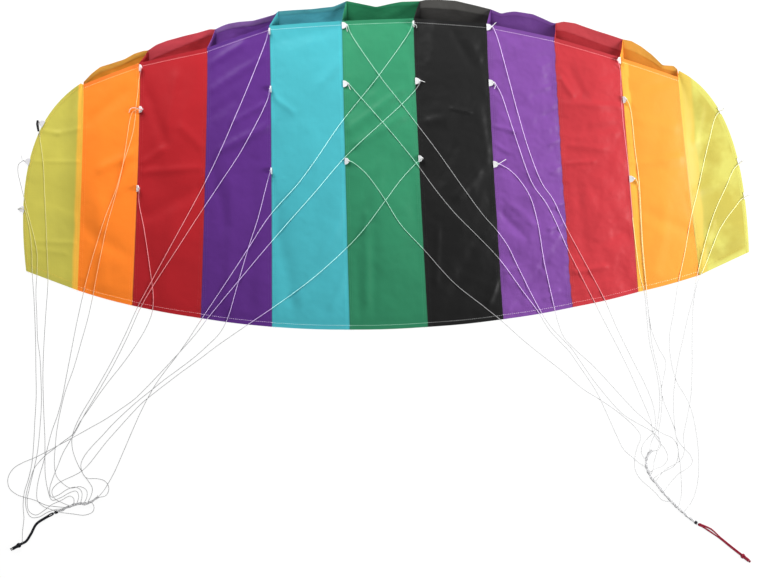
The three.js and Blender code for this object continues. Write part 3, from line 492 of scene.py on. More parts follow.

# %% [markdown]
# ## Ripstop cloth
#
# Kite cloth is a light coated nylon, woven with a thicker thread every few millimetres so that a tear
# stops there. It is smooth, a little glossy and slightly mottled, and paler where a seam allowance lies
# under it. The weave could be modelled, but it is far finer than the picture, so it is a grid in the
# material, laid along the cloth by the UV map, which is in metres. Strips of another colour come from
# attributes that each sheet carries: strip for a seam allowance, hem for an edge, and one more for the
# dark line along a seam, which is painted shade.

# %% Cloth material
RIPSTOP_GRID = 5.0 * MM
GRID_THREAD = 0.12       # a thick thread's width, as a share of the grid
THREAD_LIGHT = 0.015     # how much brighter it is
THREAD_RELIEF = 0.008
MOTTLE_SCALE = 14
MOTTLE_DARK = 0.9
PAINTED_SHADE_SHARE = 0.3       # share of the painted shade along a seam
PAINTED_SHADE_COLOUR = (0.02, 0.02, 0.02, 1)
CRINKLE_SCALE = 90
CRINKLE_STRENGTH = 0.15
CRINKLE_HEIGHT = 0.8 * MM


def linear(red, green, blue):
    """A colour given as 0 to 255 screen values, as the shader's linear values."""
    share = [value / 255 for value in (red, green, blue)]
    return (*[v / 12.92 if v <= 0.04045 else ((v + 0.055) / 1.055) ** 2.4 for v in share], 1)


def feed(links, socket, value):
    """Links a socket to the one that is given, or sets it to the value."""
    if isinstance(value, bpy.types.NodeSocket):
        links.new(value, socket)
    else:
        socket.default_value = value


def blend_node(nodes, links, factor, a, b, kind="MIX"):
    """A colour mix. Each of factor, a and b is a socket or a value. Returns the result's socket."""
    node = nodes.new("ShaderNodeMix")
    node.data_type = "RGBA"
    node.blend_type = kind
    for socket, value in ((node.inputs[0], factor), (node.inputs[6], a), (node.inputs[7], b)):
        feed(links, socket, value)
    return node.outputs[2]


def math_node(nodes, links, kind, *values):
    """One step of arithmetic on sockets or values. Returns the result's socket."""
    node = nodes.new("ShaderNodeMath")
    node.operation = kind
    for socket, value in zip(node.inputs, values):
        feed(links, socket, value)
    return node.outputs[0]


def noise_node(nodes, links, place, scale, detail):
    node = nodes.new("ShaderNodeTexNoise")
    node.inputs["Scale"].default_value = scale
    node.inputs["Detail"].default_value = detail
    links.new(place, node.inputs["Vector"])
    return node.outputs[0]


def uv_values(nodes, links):
    """Sockets of the UV map's two values."""
    uv = nodes.new("ShaderNodeUVMap")
    uv.uv_map = "UVMap"
    split = nodes.new("ShaderNodeSeparateXYZ")
    links.new(uv.outputs[0], split.inputs[0])
    return split.outputs


def raise_surface(nodes, links, shader, relief, strength, distance):
    """Bumps on a shader's surface, from a socket of heights."""
    bump = nodes.new("ShaderNodeBump")
    bump.inputs["Strength"].default_value = strength
    bump.inputs["Distance"].default_value = distance
    links.new(relief, bump.inputs["Height"])
    links.new(bump.outputs[0], shader.inputs["Normal"])


def attribute(nodes, name):
    node = nodes.new("ShaderNodeAttribute")
    node.attribute_name = name
    return node.outputs["Fac"]


def ripstop(name, colour, strip, hem, fall=0.0):
    """Cloth of one colour, its colour over a seam allowance, and that of its hemmed edge. fall is painted
    shade: how much it darkens over a metre towards the back."""
    material, nodes, links, shader = principled(name, Roughness=0.42, Specular_IOR_Level=0.2)
    threads = []
    for across in uv_values(nodes, links)[:2]:
        cells = math_node(nodes, links, "DIVIDE", across, RIPSTOP_GRID)
        place = math_node(nodes, links, "FRACT", cells)
        threads.append(math_node(nodes, links, "LESS_THAN", place, GRID_THREAD))
    thread = math_node(nodes, links, "MAXIMUM", *threads)

    place = nodes.new("ShaderNodeTexCoord").outputs["Object"]
    mottle = noise_node(nodes, links, place, MOTTLE_SCALE, 5)
    ramp = nodes.new("ShaderNodeValToRGB")
    ramp.color_ramp.elements[0].position = 0.3
    ramp.color_ramp.elements[0].color = (MOTTLE_DARK, MOTTLE_DARK, MOTTLE_DARK, 1)
    ramp.color_ramp.elements[1].position = 0.7
    ramp.color_ramp.elements[1].color = (1, 1, 1, 1)
    links.new(mottle, ramp.inputs[0])

    shade = blend_node(nodes, links, attribute(nodes, "strip"), linear(*colour), linear(*strip))
    shade = blend_node(nodes, links, attribute(nodes, "hem"), shade, linear(*hem))
    shade = blend_node(nodes, links, 1.0, shade, ramp.outputs[0], "MULTIPLY")
    # Painted shade: darker towards the back, by the cloth's fall.
    depth = nodes.new("ShaderNodeSeparateXYZ")
    links.new(place, depth.inputs[0])
    dim = math_node(nodes, links, "MULTIPLY_ADD", depth.outputs[1], fall, 1.0)
    shade = blend_node(nodes, links, 1.0, shade, dim, "MULTIPLY")
    faint = math_node(nodes, links, "MULTIPLY_ADD", thread, THREAD_LIGHT, 1.0)
    shade = blend_node(nodes, links, 1.0, shade, faint, "MULTIPLY")
    # Painted shade: a dark line along each seam.
    deep = math_node(nodes, links, "MULTIPLY", attribute(nodes, "valley"), PAINTED_SHADE_SHARE)
    shade = blend_node(nodes, links, deep, shade, PAINTED_SHADE_COLOUR)
    links.new(shade, shader.inputs["Base Color"])

    crinkle = noise_node(nodes, links, place, CRINKLE_SCALE, 4)
    relief = math_node(nodes, links, "MULTIPLY_ADD", thread, THREAD_RELIEF, crinkle)
    raise_surface(nodes, links, shader, relief, CRINKLE_STRENGTH, CRINKLE_HEIGHT)
    return material


# Screen colours of each cloth: the panel, where a seam allowance backs it, and its hem, which on the
# cells is darker, painted shade where the rolled hem turns down. One cloth has its own colours in the
# left and
# the right cells, paler on the right: painted light and shade for light that is stronger on the right. On
# two of them a painted shade that deepens towards the back.
CLOTHS = {
    "tip_left": ((192, 183, 79), (243, 186, 71), (187, 179, 79)),
    "1_orange": ((252, 131, 40), (255, 150, 56), (236, 122, 46)),
    "2_red": ((170, 31, 38), (186, 46, 52), (160, 32, 40)),
    "3_purple": ((88, 43, 125), (102, 56, 140), (84, 43, 122)),
    "4_cyan": ((70, 172, 183), (72, 179, 190), (66, 168, 176)),
    "5_green": ((50, 135, 97), (62, 150, 110), (46, 124, 88), 0.55),
    "6_black": ((29, 29, 29), (34, 34, 34), (25, 25, 25), 0.6),
    "7_purple": ((124, 74, 154), (138, 88, 168), (114, 68, 144)),
    "8_red": ((190, 55, 62), (206, 75, 79), (178, 52, 59)),
    "9_orange": ((255, 155, 59), (255, 182, 73), (246, 146, 57)),
    "tip_right": ((184, 171, 77), (210, 184, 83), (206, 202, 104)),
}
cloth_materials = {name: ripstop(f"ripstop_{name}", *colours) for name, colours in CLOTHS.items()}
print("cloth materials:", len(cloth_materials))

# %% [markdown]
# ## How a sheet is made
#
# Each sheet is a grid of points on a surface, given a second face a little below it and joined round
# the edge, so it is one closed thin body. Solidify would do the same, but a plain loop also lets the
# sheet carry its UV map and attributes from the same arrays.

# %% Sheet builder
SHEET = 0.4     # thickness of the modelled cloth


def outline(rows, columns):
    """Indices of a grid's edge, once round."""
    top = [(0, c) for c in range(columns)]
    right = [(r, columns - 1) for r in range(1, rows)]
    bottom = [(rows - 1, c) for c in range(columns - 2, -1, -1)]
    left = [(r, 0) for r in range(rows - 2, 0, -1)]
    return [r * columns + c for r, c in top + right + bottom + left]


def closed_sheet(name, face, back, flat, material, **layers):
    """face and back are grids of points in millimetres, and flat the cloth's own plan for its UV map.
    Rows run from the front to the back, and columns to the right."""
    rows, columns = face.shape[:2]
    count = rows * columns
    points = np.concatenate([face.reshape(-1, 3), back.reshape(-1, 3)]) * MM
    index = np.arange(count).reshape(rows, columns)
    quads = np.stack([index[:-1, :-1], index[1:, :-1], index[1:, 1:], index[:-1, 1:]], -1).reshape(-1, 4)
    ring = outline(rows, columns)
    rim = [(a, b, b + count, a + count) for a, b in zip(ring, ring[1:] + ring[:1])]
    faces = quads.tolist() + (quads[:, ::-1] + count).tolist() + rim
    mesh = bpy.data.meshes.new(name)
    mesh.from_pydata(points.tolist(), [], faces)
    corner = np.empty(len(mesh.loops), dtype=np.int32)
    mesh.loops.foreach_get("vertex_index", corner)
    uv = mesh.uv_layers.new(name="UVMap")
    plan = np.concatenate([flat.reshape(-1, 2)] * 2) * MM
    uv.data.foreach_set("uv", plan[corner].ravel())
    for layer, values in layers.items():
        store = mesh.attributes.new(layer, "FLOAT", "POINT")
        store.data.foreach_set("value", np.concatenate([values.ravel()] * 2))
    mesh.polygons.foreach_set("use_smooth", [True] * len(mesh.polygons))
    mesh.set_sharp_from_angle(angle=math.radians(50))
    mesh.materials.append(material)
    mesh.validate()
    piece = bpy.data.objects.new(name, mesh)
    scene.collection.objects.link(piece)
    return piece


def dress(piece, slot, *nodes_replaced):
    """The calls that every piece needs."""
    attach(piece, "root")
    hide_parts(*nodes_replaced)
    return piece


def below(face, thickness=SHEET):
    return face - np.array((0, 0, thickness))


def smooth_step(x, start, end):
    t = np.clip((x - start) / (end - start), 0, 1)
    return t * t * (3 - 2 * t)


print("sheet thickness", SHEET, "mm")

# %% [markdown]
# ## The lower skin
#
# These nine panels are what the picture mostly shows. Each is stretched between two ribs, crowned in
# the middle, and falls from the open lip to the trailing edge. Near its seams the thread draws the
# cloth into small puckers. The lip has a rolled hem that is given a darker colour, painted shade where
# it turns down, and the back another.

# %% Lower skin panels
PANEL_COLUMNS = 49
PANEL_ROWS = np.concatenate([[0, 0.002, 0.004, 0.007, 0.011], np.linspace(0.016, 0.98, 176),
                             [0.985, 0.99, 0.995, 1]])
BACK_HEM = 7.5
LIP_HEM = 7.0
BACK_DROP = 1.3      # the skins are sewn together at the back, so the panel comes down to the other
PUCKER = 0.35        # height of the puckers along a seam
PUCKER_REACH = 9.0
RIPPLE_LENGTH = 7.0
SEAM_CALM = 12.0     # creases grow from the seam over this width
END_CALM = 15.0      # and from the lip and the back over this length
BACK_SLOPE = 26.0
BACK_HEM_RISE = 0.25
LIP_HEM_RISE = 0.3
STRIP_SOFT = 0.6
SEAM_SHADE = 1.6     # width of the painted shade along a seam
# Panels with a seam allowance that shows: its width at the left and right seam.
ALLOWANCES = {"4_cyan": (5, 7), "9_orange": (13, 0)}
# Puckers that are stronger than the rest, at the left and right seam.
DRAWN_SEAMS = {"7_purple": (1.0, 3.2), "8_red": (2.6, 1.0), "9_orange": (1.6, 1.0)}
# Seams that show no painted shade along them have a shade of 0, at the left and right seam.
SEAM_SHADES = {"1_orange": (0, 1)}
# Broad folds, as in the solids: middle as shares of the panel, half length, half width, turn and rise.
FOLDS = [
    ("1_orange", 0.6, 0.35, 110, 26, 12, -3),
    ("2_red", 0.35, 0.5, 90, 30, -35, -3),
    ("2_red", 0.7, 0.25, 80, 26, 20, 2),
    ("3_purple", 0.5, 0.55, 120, 28, 24, -3),
    ("4_cyan", 0.62, 0.7, 120, 26, 6, -2.5),
    ("5_green", 0.4, 0.4, 130, 28, -30, -3),
    ("5_green", 0.6, 0.75, 80, 26, 14, 1.5),
    ("6_black", 0.55, 0.35, 110, 26, 32, -3),
    ("7_purple", 0.35, 0.55, 100, 26, -20, -3.5),
    ("7_purple", 0.68, 0.72, 90, 24, 28, 2.5),
    ("8_red", 0.55, 0.5, 110, 28, -40, -3),
    ("9_orange", 0.45, 0.4, 100, 26, 16, -2.5),
]


def fold_rise(piece, left, right, x, y):
    """Summed rise in millimetres of a panel's broad folds at plan points in millimetres."""
    total = np.zeros_like(x)
    for name, across, along, length, width, turn, rise in FOLDS:
        if name != piece:
            continue
        ends = np.array((seam_line(left, "lip", along), seam_line(right, "lip", along)))
        middle = mix(ends[0], ends[1], across)
        turn = math.radians(turn)
        run = (x - middle[0]) * math.sin(turn) + (y - middle[1]) * math.cos(turn)
        aside = (x - middle[0]) * math.cos(turn) - (y - middle[1]) * math.sin(turn)
        total += rise * np.exp(-((run / length) ** 2) - (aside / width) ** 2)
    return total


def pucker_rise(from_seam, along_seam, seed):
    """Small uneven ripples across a seam that die away from it."""
    ripple = np.array([noise.noise((s / RIPPLE_LENGTH, seed, 0.3)) for s in along_seam])
    return PUCKER * ripple[:, None] * np.exp(-from_seam / PUCKER_REACH)


def lower_face(index):
    """The panel's upper face, its flat plan and its layers."""
    cell, left, right = CELLS[index], RIBS[index], RIBS[index + 1]
    u, v = np.meshgrid(np.linspace(0, 1, PANEL_COLUMNS), PANEL_ROWS)
    left_x, left_y = seam_line(left, "lip", v)
    right_x, right_y = seam_line(right, "lip", v)
    swell = np.sin(np.pi * u)
    x = mix(left_x, right_x, u)
    y = mix(left_y, right_y, u) - BACK_BOW * swell * v
    width = right_x - left_x
    chord = mix(left_y, right_y, u)[0] - mix(left_y, right_y, u)[-1]
    run = v * chord
    z = mix(underside(left, v), underside(right, v), u) + CLOTH + crown(v) * swell
    z += fold_rise(cell["name"], left, right, x, y) * swell * (1 - v**3)
    inside = smooth_step(np.minimum(u, 1 - u) * width, 0, SEAM_CALM)
    ends = smooth_step(run, 0, END_CALM) * smooth_step(chord - run, 0, END_CALM)
    z += crease_rise(cell["name"], x, y) * (0.25 + 0.75 * inside) * (0.35 + 0.65 * ends)
    z += cell["crumple"] * crumple(x, y, index * 3.7) * inside * (0.3 + 0.7 * ends)
    drawn = DRAWN_SEAMS.get(cell["name"], (1, 1))
    z += drawn[0] * pucker_rise(u * width, run[:, 0], index * 2.0 + 0.2)
    z += drawn[1] * pucker_rise((1 - u) * width, run[:, 0], index * 2.0 + 1.2)
    z -= BACK_DROP * smooth_step(chord - run, BACK_SLOPE, 0)
    z += BACK_HEM_RISE * smooth_step(chord - run, BACK_HEM + 1, BACK_HEM - 1)
    z += LIP_HEM_RISE * smooth_step(run, LIP_HEM, 0)
    ragged = np.array([1 + 0.25 * noise.noise((s / 30.0, index, 5.0)) for s in run[:, 0]])[:, None]
    strip, valley = np.zeros_like(u), np.zeros_like(u)
    shown = zip((u, 1 - u), ALLOWANCES.get(cell["name"], (0, 0)), SEAM_SHADES.get(cell["name"], (1, 1)))
    for share, allowance, shade in shown:
        from_seam, edge = share * width, allowance * ragged
        strip = np.maximum(strip, smooth_step(from_seam, edge + STRIP_SOFT, edge - STRIP_SOFT))
        valley = np.maximum(valley, shade * smooth_step(from_seam, SEAM_SHADE, 0))
    # The hem's darker colour is painted shade where the rolled hem turns down.
    layers = {"strip": strip, "hem": smooth_step(run, LIP_HEM, LIP_HEM - 2), "valley": valley}
    return np.stack([x, y, z], -1), np.stack([(u - 0.5) * width, run], -1), layers


cloth_pieces = []
faces = {}


def add_panel(name, made, material, slot, node):
    """A sheet from its face, flat plan and layers."""
    face, flat, layers = made
    panel = closed_sheet(name, face, below(face), flat, material, **layers)
    dress(panel, slot, node)
    cloth_pieces.append(panel)
    return face


for i, cell in enumerate(CELLS):
    name = cell["name"]
    faces[name] = add_panel(f"lower_skin_{name}", lower_face(i), cloth_materials[name], cell["slot"],
                            f"lower_{name}")
print("lower skin:", [len(piece.data.polygons) for piece in cloth_pieces])

# %% [markdown]
# ## The upper skin
#
# It lies flat on the floor under the cells and shows only at the mouths, where its front edge reaches
# past the lip and curls up. Inside the mouth the cloth is given a darker colour, painted shade of the
# dark cell under the lip, and the turned edge a paler one, a painted highlight where it catches the
# light, in a band that is wider at one side of most cells. So each mouth has colours of its own. The
# rows are close together there and few behind.

# %% Upper skin panels
UPPER_COLUMNS = 49
UPPER_ROWS = np.concatenate([np.linspace(0, 0.12, 44), np.linspace(0.14, 1, 24)])
UPPER_FLOAT = 0.1    # gap between this skin and the floor
MOUTH_CRUMPLE = 1.2
MOUTH_CRUMPLE_SIZE = 26.0
MOUTH_DEPTH = 90.0   # behind its lip the cloth is crumpled as far back as this
TURNED_RISE = 0.5
# Screen colours inside the mouth, painted shade, and on its turned edge, a painted highlight, and that
# edge's depth at its two sides.
MOUTHS = {
    "1_orange": ((208, 134, 42), (214, 154, 64), 6, 8),
    "2_red": ((162, 40, 46), (194, 68, 78), 20, 9),
    "3_purple": ((111, 64, 149), (136, 98, 166), 8, 12),
    "4_cyan": ((71, 152, 167), (75, 152, 162), 8, 10),
    "5_green": ((37, 115, 77), (47, 131, 91), 5, 8),
    "6_black": ((49, 48, 47), (74, 73, 71), 13, 13),
    "7_purple": ((98, 58, 126), (112, 70, 141), 6, 6),
    "8_red": ((161, 43, 49), (186, 66, 72), 13, 22),
    "9_orange": ((198, 126, 45), (212, 151, 64), 16, 8),
}


def lip_edge(cell, u):
    """How far forward a cell's upper lip stands across the cell, with the corners taken off."""
    shares, forward = zip((0, 0), *cell["edge"], (1, 0))
    sharp = np.interp(u, shares, forward)
    padded = np.concatenate([sharp[:1], sharp, sharp[-1:]])
    return (padded[:-2] + 2 * padded[1:-1] + padded[2:]) / 4


def upper_face(index):
    """The panel's upper face, its flat plan and its layers, as for the lower skin."""
    cell, left, right = CELLS[index], RIBS[index], RIBS[index + 1]
    u, v = np.meshgrid(np.linspace(0, 1, UPPER_COLUMNS), UPPER_ROWS)
    left_x, left_y = seam_line(left, "nose", v)
    right_x, right_y = seam_line(right, "nose", v)
    swell = np.sin(np.pi * u)
    waves = swell * np.array([noise.noise((a * 2.6, index * 1.7, 0.4)) for a in u[0]])
    start = CURL_CHORD * (1 + 0.35 * waves)
    curl = np.maximum(0, 1 - v / start) ** 2
    x = mix(left_x, right_x, u)
    y = mix(left_y, right_y, u) + lip_edge(cell, u[0]) * curl - BACK_BOW * swell * v
    run = v * (mix(left_y, right_y, u)[0] - mix(left_y, right_y, u)[-1])
    lift = NOSE_SHARE * mix(left["lift"], right["lift"], u)
    z = UPPER_FLOAT + SHEET + lift * curl * (1 + 0.45 * waves)
    crumpled = crumple(x, y, index * 5.1 + 40, MOUTH_CRUMPLE_SIZE) * swell * (z > 1)
    z += MOUTH_CRUMPLE * crumpled * smooth_step(run, MOUTH_DEPTH, 20)
    depth = mix(*MOUTHS[cell["name"]][2:], u)
    z = np.maximum(z, UPPER_FLOAT + SHEET) + TURNED_RISE * smooth_step(run, depth, depth - 2)
    layers = {"strip": 0 * u, "hem": smooth_step(run, depth, depth - 1.5),
              "valley": smooth_step(np.minimum(u, 1 - u) * (right_x - left_x), 1.4, 0)}
    return np.stack([x, y, z], -1), np.stack([(u - 0.5) * (right_x - left_x), run], -1), layers


for i, cell in enumerate(CELLS):
    name = cell["name"]
    inner, turned = MOUTHS[name][:2]
    mouth_cloth = ripstop(f"ripstop_mouth_{name}", inner, inner, turned)
    add_panel(f"upper_skin_{name}", upper_face(i), mouth_cloth, cell["slot"], f"upper_{name}")
print("upper skin:", len(CELLS), "panels")

# %% [markdown]
# ## The ribs
#
# A rib is a cloth profile, sewn to both skins. Only its slanted front edge shows, in the mouth between
# two cells, in the cloth of the cell on its right. It is a ruled sheet: each of its rows runs from the
# upper seam to the lower one.

# %% Ribs
RIB_LEVELS = 8
RIB_SHARES = np.concatenate([np.linspace(0, 0.12, 14), np.linspace(0.15, 1, 40)])
RIB_RIPPLE = 1.2
RIB_TUCK = 1.2       # the rib's top stays this far under the lower skin
RIB_CLOTHS = {2: "7_purple"}     # the third rib catches the light, so it is a paler purple


def rib_face(rib, number):
    """A rib's face and flat plan, and its area, greatest height and length."""
    v, w = np.meshgrid(RIB_SHARES, np.linspace(0, 1, RIB_LEVELS), indexing="ij")
    curl = np.maximum(0, 1 - v / CURL_CHORD) ** 2
    foot = UPPER_FLOAT + SHEET + 0.1 + NOSE_SHARE * rib["lift"] * curl
    top = underside(rib, v) + CLOTH - RIB_TUCK - SHEET - BACK_DROP * smooth_step(v, 0.93, 1)
    top = np.maximum(top, foot + 0.2)
    foot_x, foot_y = seam_line(rib, "nose", v)
    top_x, top_y = seam_line(rib, "lip", v)
    ripple = RIB_RIPPLE * np.sin(np.pi * w) * np.sin(9 * v + number)
    x = mix(foot_x, top_x, w) + ripple
    face = np.stack([x - SHEET / 2, mix(foot_y, top_y, w), mix(foot, top, w)], -1)
    height = top - foot
    chord = float(foot_y[0, 0] - foot_y[-1, 0])
    flat = np.stack([v * chord, w * height], -1)
    area = float((height[1:, 0] * np.diff(-foot_y[:, 0])).sum())
    return face, flat, area, float(height.max()), chord


for i, rib in enumerate(RIBS):
    face, flat, area, height, chord = rib_face(rib, i)
    bare = np.zeros(face.shape[:2])
    cell = CELLS[min(i, len(CELLS) - 1)]
    cloth = cloth_materials[RIB_CLOTHS.get(i, cell["name"])]
    sheet = closed_sheet(f"rib_cloth_{i + 1}", face, face + np.array((SHEET, 0, 0)), flat, cloth,
                         strip=bare, hem=bare, valley=bare)
    dress(sheet, cell["slot"], f"rib_{i + 1}")
print("ribs:", len(RIBS))

# %% [markdown]
# ## The tip flaps
#
# Each tip is a single layer of yellow cloth that falls from the outer rib to the floor. Light comes
# through it, so the seam allowance is a brighter band, wider in front on the right tip, and the rest is
# cloudy. The outer edge is a cubic curve.

# %% Tip flaps
TIP_COLUMNS = 41
TIP_ROWS = np.linspace(0, 1, 130)
TIP_FALL = 0.5           # share of the flap's width over which it comes down to the floor
TIP_CHORD = 375.0        # about a flap's length
TIP_SHADE = 1.4          # width of the painted shade along the seam
EDGE_HEM = 6.0
EDGE_HEM_RISE = 0.3
CLOUD_SIZE = 60.0
CLOUD_LIGHT = 0.8
TIPS = {
    "tip_left": {"rib": 0, "side": -1, "row": 0, "tabs": (0.345, 0.562, 0.776), "tilt": 12,
                 "strip": (11, 10, 10), "soft": 2.4, "shade": 0,
                 "edge": ((-535, 161), (-616, 112), (-658, 10), (-642, -172))},
    "tip_right": {"rib": 9, "side": 1, "row": 11, "tabs": (0.377, 0.655, 0.8), "tilt": 20,
                  "strip": (24, 20, 15), "soft": 3.0, "shade": 1,
                  "edge": ((535.5, 154), (614, 112), (650, 10), (652, -174))},
}


def edge_point(tip, t):
    """Point and direction of the flap's outer edge, in millimetres."""
    p = [np.array(point, dtype=float) for point in tip["edge"]]
    t = np.asarray(t)[..., None]
    point = (1 - t)**3 * p[0] + 3 * (1 - t)**2 * t * p[1] + 3 * (1 - t) * t**2 * p[2] + t**3 * p[3]
    slope = (1 - t)**2 * (p[1] - p[0]) + 2 * (1 - t) * t * (p[2] - p[1]) + t**2 * (p[3] - p[2])
    return point, slope / np.linalg.norm(slope, axis=-1, keepdims=True)


def tip_face(name):
    """The flap's upper face, its flat plan and its layers."""
    tip = TIPS[name]
    rib, side = RIBS[tip["rib"]], tip["side"]
    u, v = np.meshgrid(np.linspace(0, 1, TIP_COLUMNS), TIP_ROWS)
    out = u if side > 0 else 1 - u
    seam_x, seam_y = seam_line(rib, "lip", v)
    rim, slope = edge_point(tip, v)
    x = mix(seam_x, rim[..., 0], out)
    y = mix(seam_y, rim[..., 1], out)
    width = np.abs(rim[..., 0] - seam_x)
    fall = np.maximum(0, 1 - out / TIP_FALL) ** 2
    z = UPPER_FLOAT + SHEET + (underside(rib, v) + CLOTH - SHEET) * fall
    inner, outer = out * width, (1 - out) * width
    ripple = np.maximum(0, crease_rise(name, x, y) + 0.5 + 0.4 * crumple(x, y, 70 + side))
    z += ripple * smooth_step(inner, 0, 10)
    z += EDGE_HEM_RISE * smooth_step(outer, EDGE_HEM, EDGE_HEM - 1.5)
    ragged = 1 + 0.12 * np.array([noise.noise((s * 9, side, 2.0)) for s in TIP_ROWS])[:, None]
    allowance = np.interp(v, (0, 0.5, 1), tip["strip"]) * ragged
    strip = smooth_step(inner, allowance + tip["soft"], allowance - tip["soft"])
    clouds = smooth_step(crumple(x, y, 90 + side, CLOUD_SIZE), -0.3, 0.7)
    edge_run = np.minimum(outer, (1 - v) * TIP_CHORD)
    rim_light = smooth_step(edge_run, EDGE_HEM * ragged + 1, EDGE_HEM * ragged - 1)
    layers = {"strip": strip, "hem": np.maximum(CLOUD_LIGHT * clouds, rim_light) * (1 - strip),
              "valley": tip["shade"] * smooth_step(inner, TIP_SHADE, 0)}
    return np.stack([x, y, z], -1), np.stack([x, y], -1), layers


for name in TIPS:
    faces[name] = add_panel(f"flap_{name}", tip_face(name), cloth_materials[name], "cloth_yellow", name)
print("tip flaps:", len(TIPS))

# %% [markdown]
# ## Repeats by Geometry Nodes
#
# Stitches, tabs and tie knots repeat, so a node tree places them: one tree sets beads along a line,
# and the other sets a template on points that carry their own turn. Both end in plain geometry with a
# material, which is then kept as a mesh, so the finished piece has no live modifier.

# %% Node trees
STITCH_SPACING = 3.4
STITCH_LENGTH = 2.8
SEAM_THREAD = 0.5
HEM_THREAD = 0.85


def new_tree(name, **inputs):
    """A tree with a geometry going in and out, and further named inputs."""
    tree = bpy.data.node_groups.new(name, "GeometryNodeTree")
    tree.interface.new_socket("Geometry", in_out="INPUT", socket_type="NodeSocketGeometry")
    for label, kind in inputs.items():
        tree.interface.new_socket(label, in_out="INPUT", socket_type=f"NodeSocket{kind}")
    tree.interface.new_socket("Geometry", in_out="OUTPUT", socket_type="NodeSocketGeometry")
    return tree, tree.nodes.new("NodeGroupInput"), tree.nodes.new("NodeGroupOutput")


def end_tree(tree, start, end, instances):
    """Realize Instances, Set Material, and out."""
    realize = tree.nodes.new("GeometryNodeRealizeInstances")
    paint = tree.nodes.new("GeometryNodeSetMaterial")
    tree.links.new(instances, realize.inputs[0])
    tree.links.new(realize.outputs[0], paint.inputs["Geometry"])
    tree.links.new(start.outputs["Material"], paint.inputs["Material"])
    tree.links.new(paint.outputs[0], end.inputs[0])


def stitch_tree():
    tree, start, end = new_tree("stitches_along", Spacing="Float", Bead="Vector", Material="Material")
    curve = tree.nodes.new("GeometryNodeMeshToCurve")
    points = tree.nodes.new("GeometryNodeCurveToPoints")
    points.mode = "LENGTH"
    aim = tree.nodes.new("FunctionNodeAlignRotationToVector")
    aim.axis = "X"
    bead = tree.nodes.new("GeometryNodeMeshUVSphere")
    bead.inputs["Segments"].default_value = 5
    bead.inputs["Rings"].default_value = 3
    bead.inputs["Radius"].default_value = 0.5
    place = tree.nodes.new("GeometryNodeInstanceOnPoints")
    tree.links.new(start.outputs["Geometry"], curve.inputs[0])
    tree.links.new(curve.outputs[0], points.inputs[0])
    tree.links.new(start.outputs["Spacing"], points.inputs["Length"])
    tree.links.new(points.outputs["Tangent"], aim.inputs["Vector"])
    tree.links.new(points.outputs["Points"], place.inputs["Points"])
    tree.links.new(bead.outputs["Mesh"], place.inputs["Instance"])
    tree.links.new(aim.outputs[0], place.inputs["Rotation"])
    tree.links.new(start.outputs["Bead"], place.inputs["Scale"])
    end_tree(tree, start, end, place.outputs[0])
    return tree


def template_tree():
    tree, start, end = new_tree("template_on_points", Template="Object", Material="Material")
    info = tree.nodes.new("GeometryNodeObjectInfo")
    turn = tree.nodes.new("GeometryNodeInputNamedAttribute")
    turn.data_type = "FLOAT_VECTOR"
    turn.inputs["Name"].default_value = "turn"
    rotation = tree.nodes.new("FunctionNodeEulerToRotation")
    place = tree.nodes.new("GeometryNodeInstanceOnPoints")
    tree.links.new(start.outputs["Template"], info.inputs["Object"])
    tree.links.new(start.outputs["Geometry"], place.inputs["Points"])
    tree.links.new(info.outputs["Geometry"], place.inputs["Instance"])
    tree.links.new(turn.outputs["Attribute"], rotation.inputs[0])
    tree.links.new(rotation.outputs[0], place.inputs["Rotation"])
    end_tree(tree, start, end, place.outputs[0])
    return tree


def grow(name, mesh, tree, **values):
    """Runs a tree on a mesh, and returns its result as a plain mesh object."""
    maker = bpy.data.objects.new(f"{name}_maker", mesh)
    scene.collection.objects.link(maker)
    modifier = maker.modifiers.new("grow", "NODES")
    modifier.node_group = tree
    sockets = {item.name: item.identifier for item in tree.interface.items_tree if item.in_out == "INPUT"}
    for label, value in values.items():
        modifier[sockets[label]] = value
    graph = bpy.context.evaluated_depsgraph_get()
    grown = bpy.data.meshes.new_from_object(maker.evaluated_get(graph), depsgraph=graph)
    bpy.data.objects.remove(maker)
    grown.name = name
    grown.polygons.foreach_set("use_smooth", [True] * len(grown.polygons))
    piece = bpy.data.objects.new(name, grown)
    scene.collection.objects.link(piece)
    return piece


along_lines = stitch_tree()
on_points = template_tree()
print("node trees:", along_lines.name, on_points.name)

# %% [markdown]
# ## Stitches
#
# Every panel is sewn along its two seams with thread of its own colour, and hemmed at its lip and its
# trailing edge with white thread, which takes up the light of the bright cloth around it. The rows are
# drawn on the panel's own grid of points, so that the thread lies on the cloth and follows its puckers.

# %% Stitch rows
SEAM_ROWS = (3.0, 6.5)      # from the seam to each row of stitches
STITCH_RISE = 0.1           # how far a bead's middle stands above the cloth
TIP_START = 8               # a tip's stitches leave out its first rows of points, at its pointed front
TIP_BACK_ROW = 9.0
CHORD_COLUMN = 20           # a sheet's length is that of this column of its points
HEM_POINTS = 60


def on_grid(face, rows, columns):
    """Points of a grid of points at fractional rows and columns."""
    rows, columns = np.broadcast_arrays(rows, columns)
    r = np.clip(rows.astype(int), 0, face.shape[0] - 2)
    c = np.clip(columns.astype(int), 0, face.shape[1] - 2)
    a, b = (rows - r)[:, None], (columns - c)[:, None]
    front = mix(face[r, c], face[r, c + 1], b)
    back = mix(face[r + 1, c], face[r + 1, c + 1], b)
    return mix(front, back, a) + np.array((0, 0, STITCH_RISE))


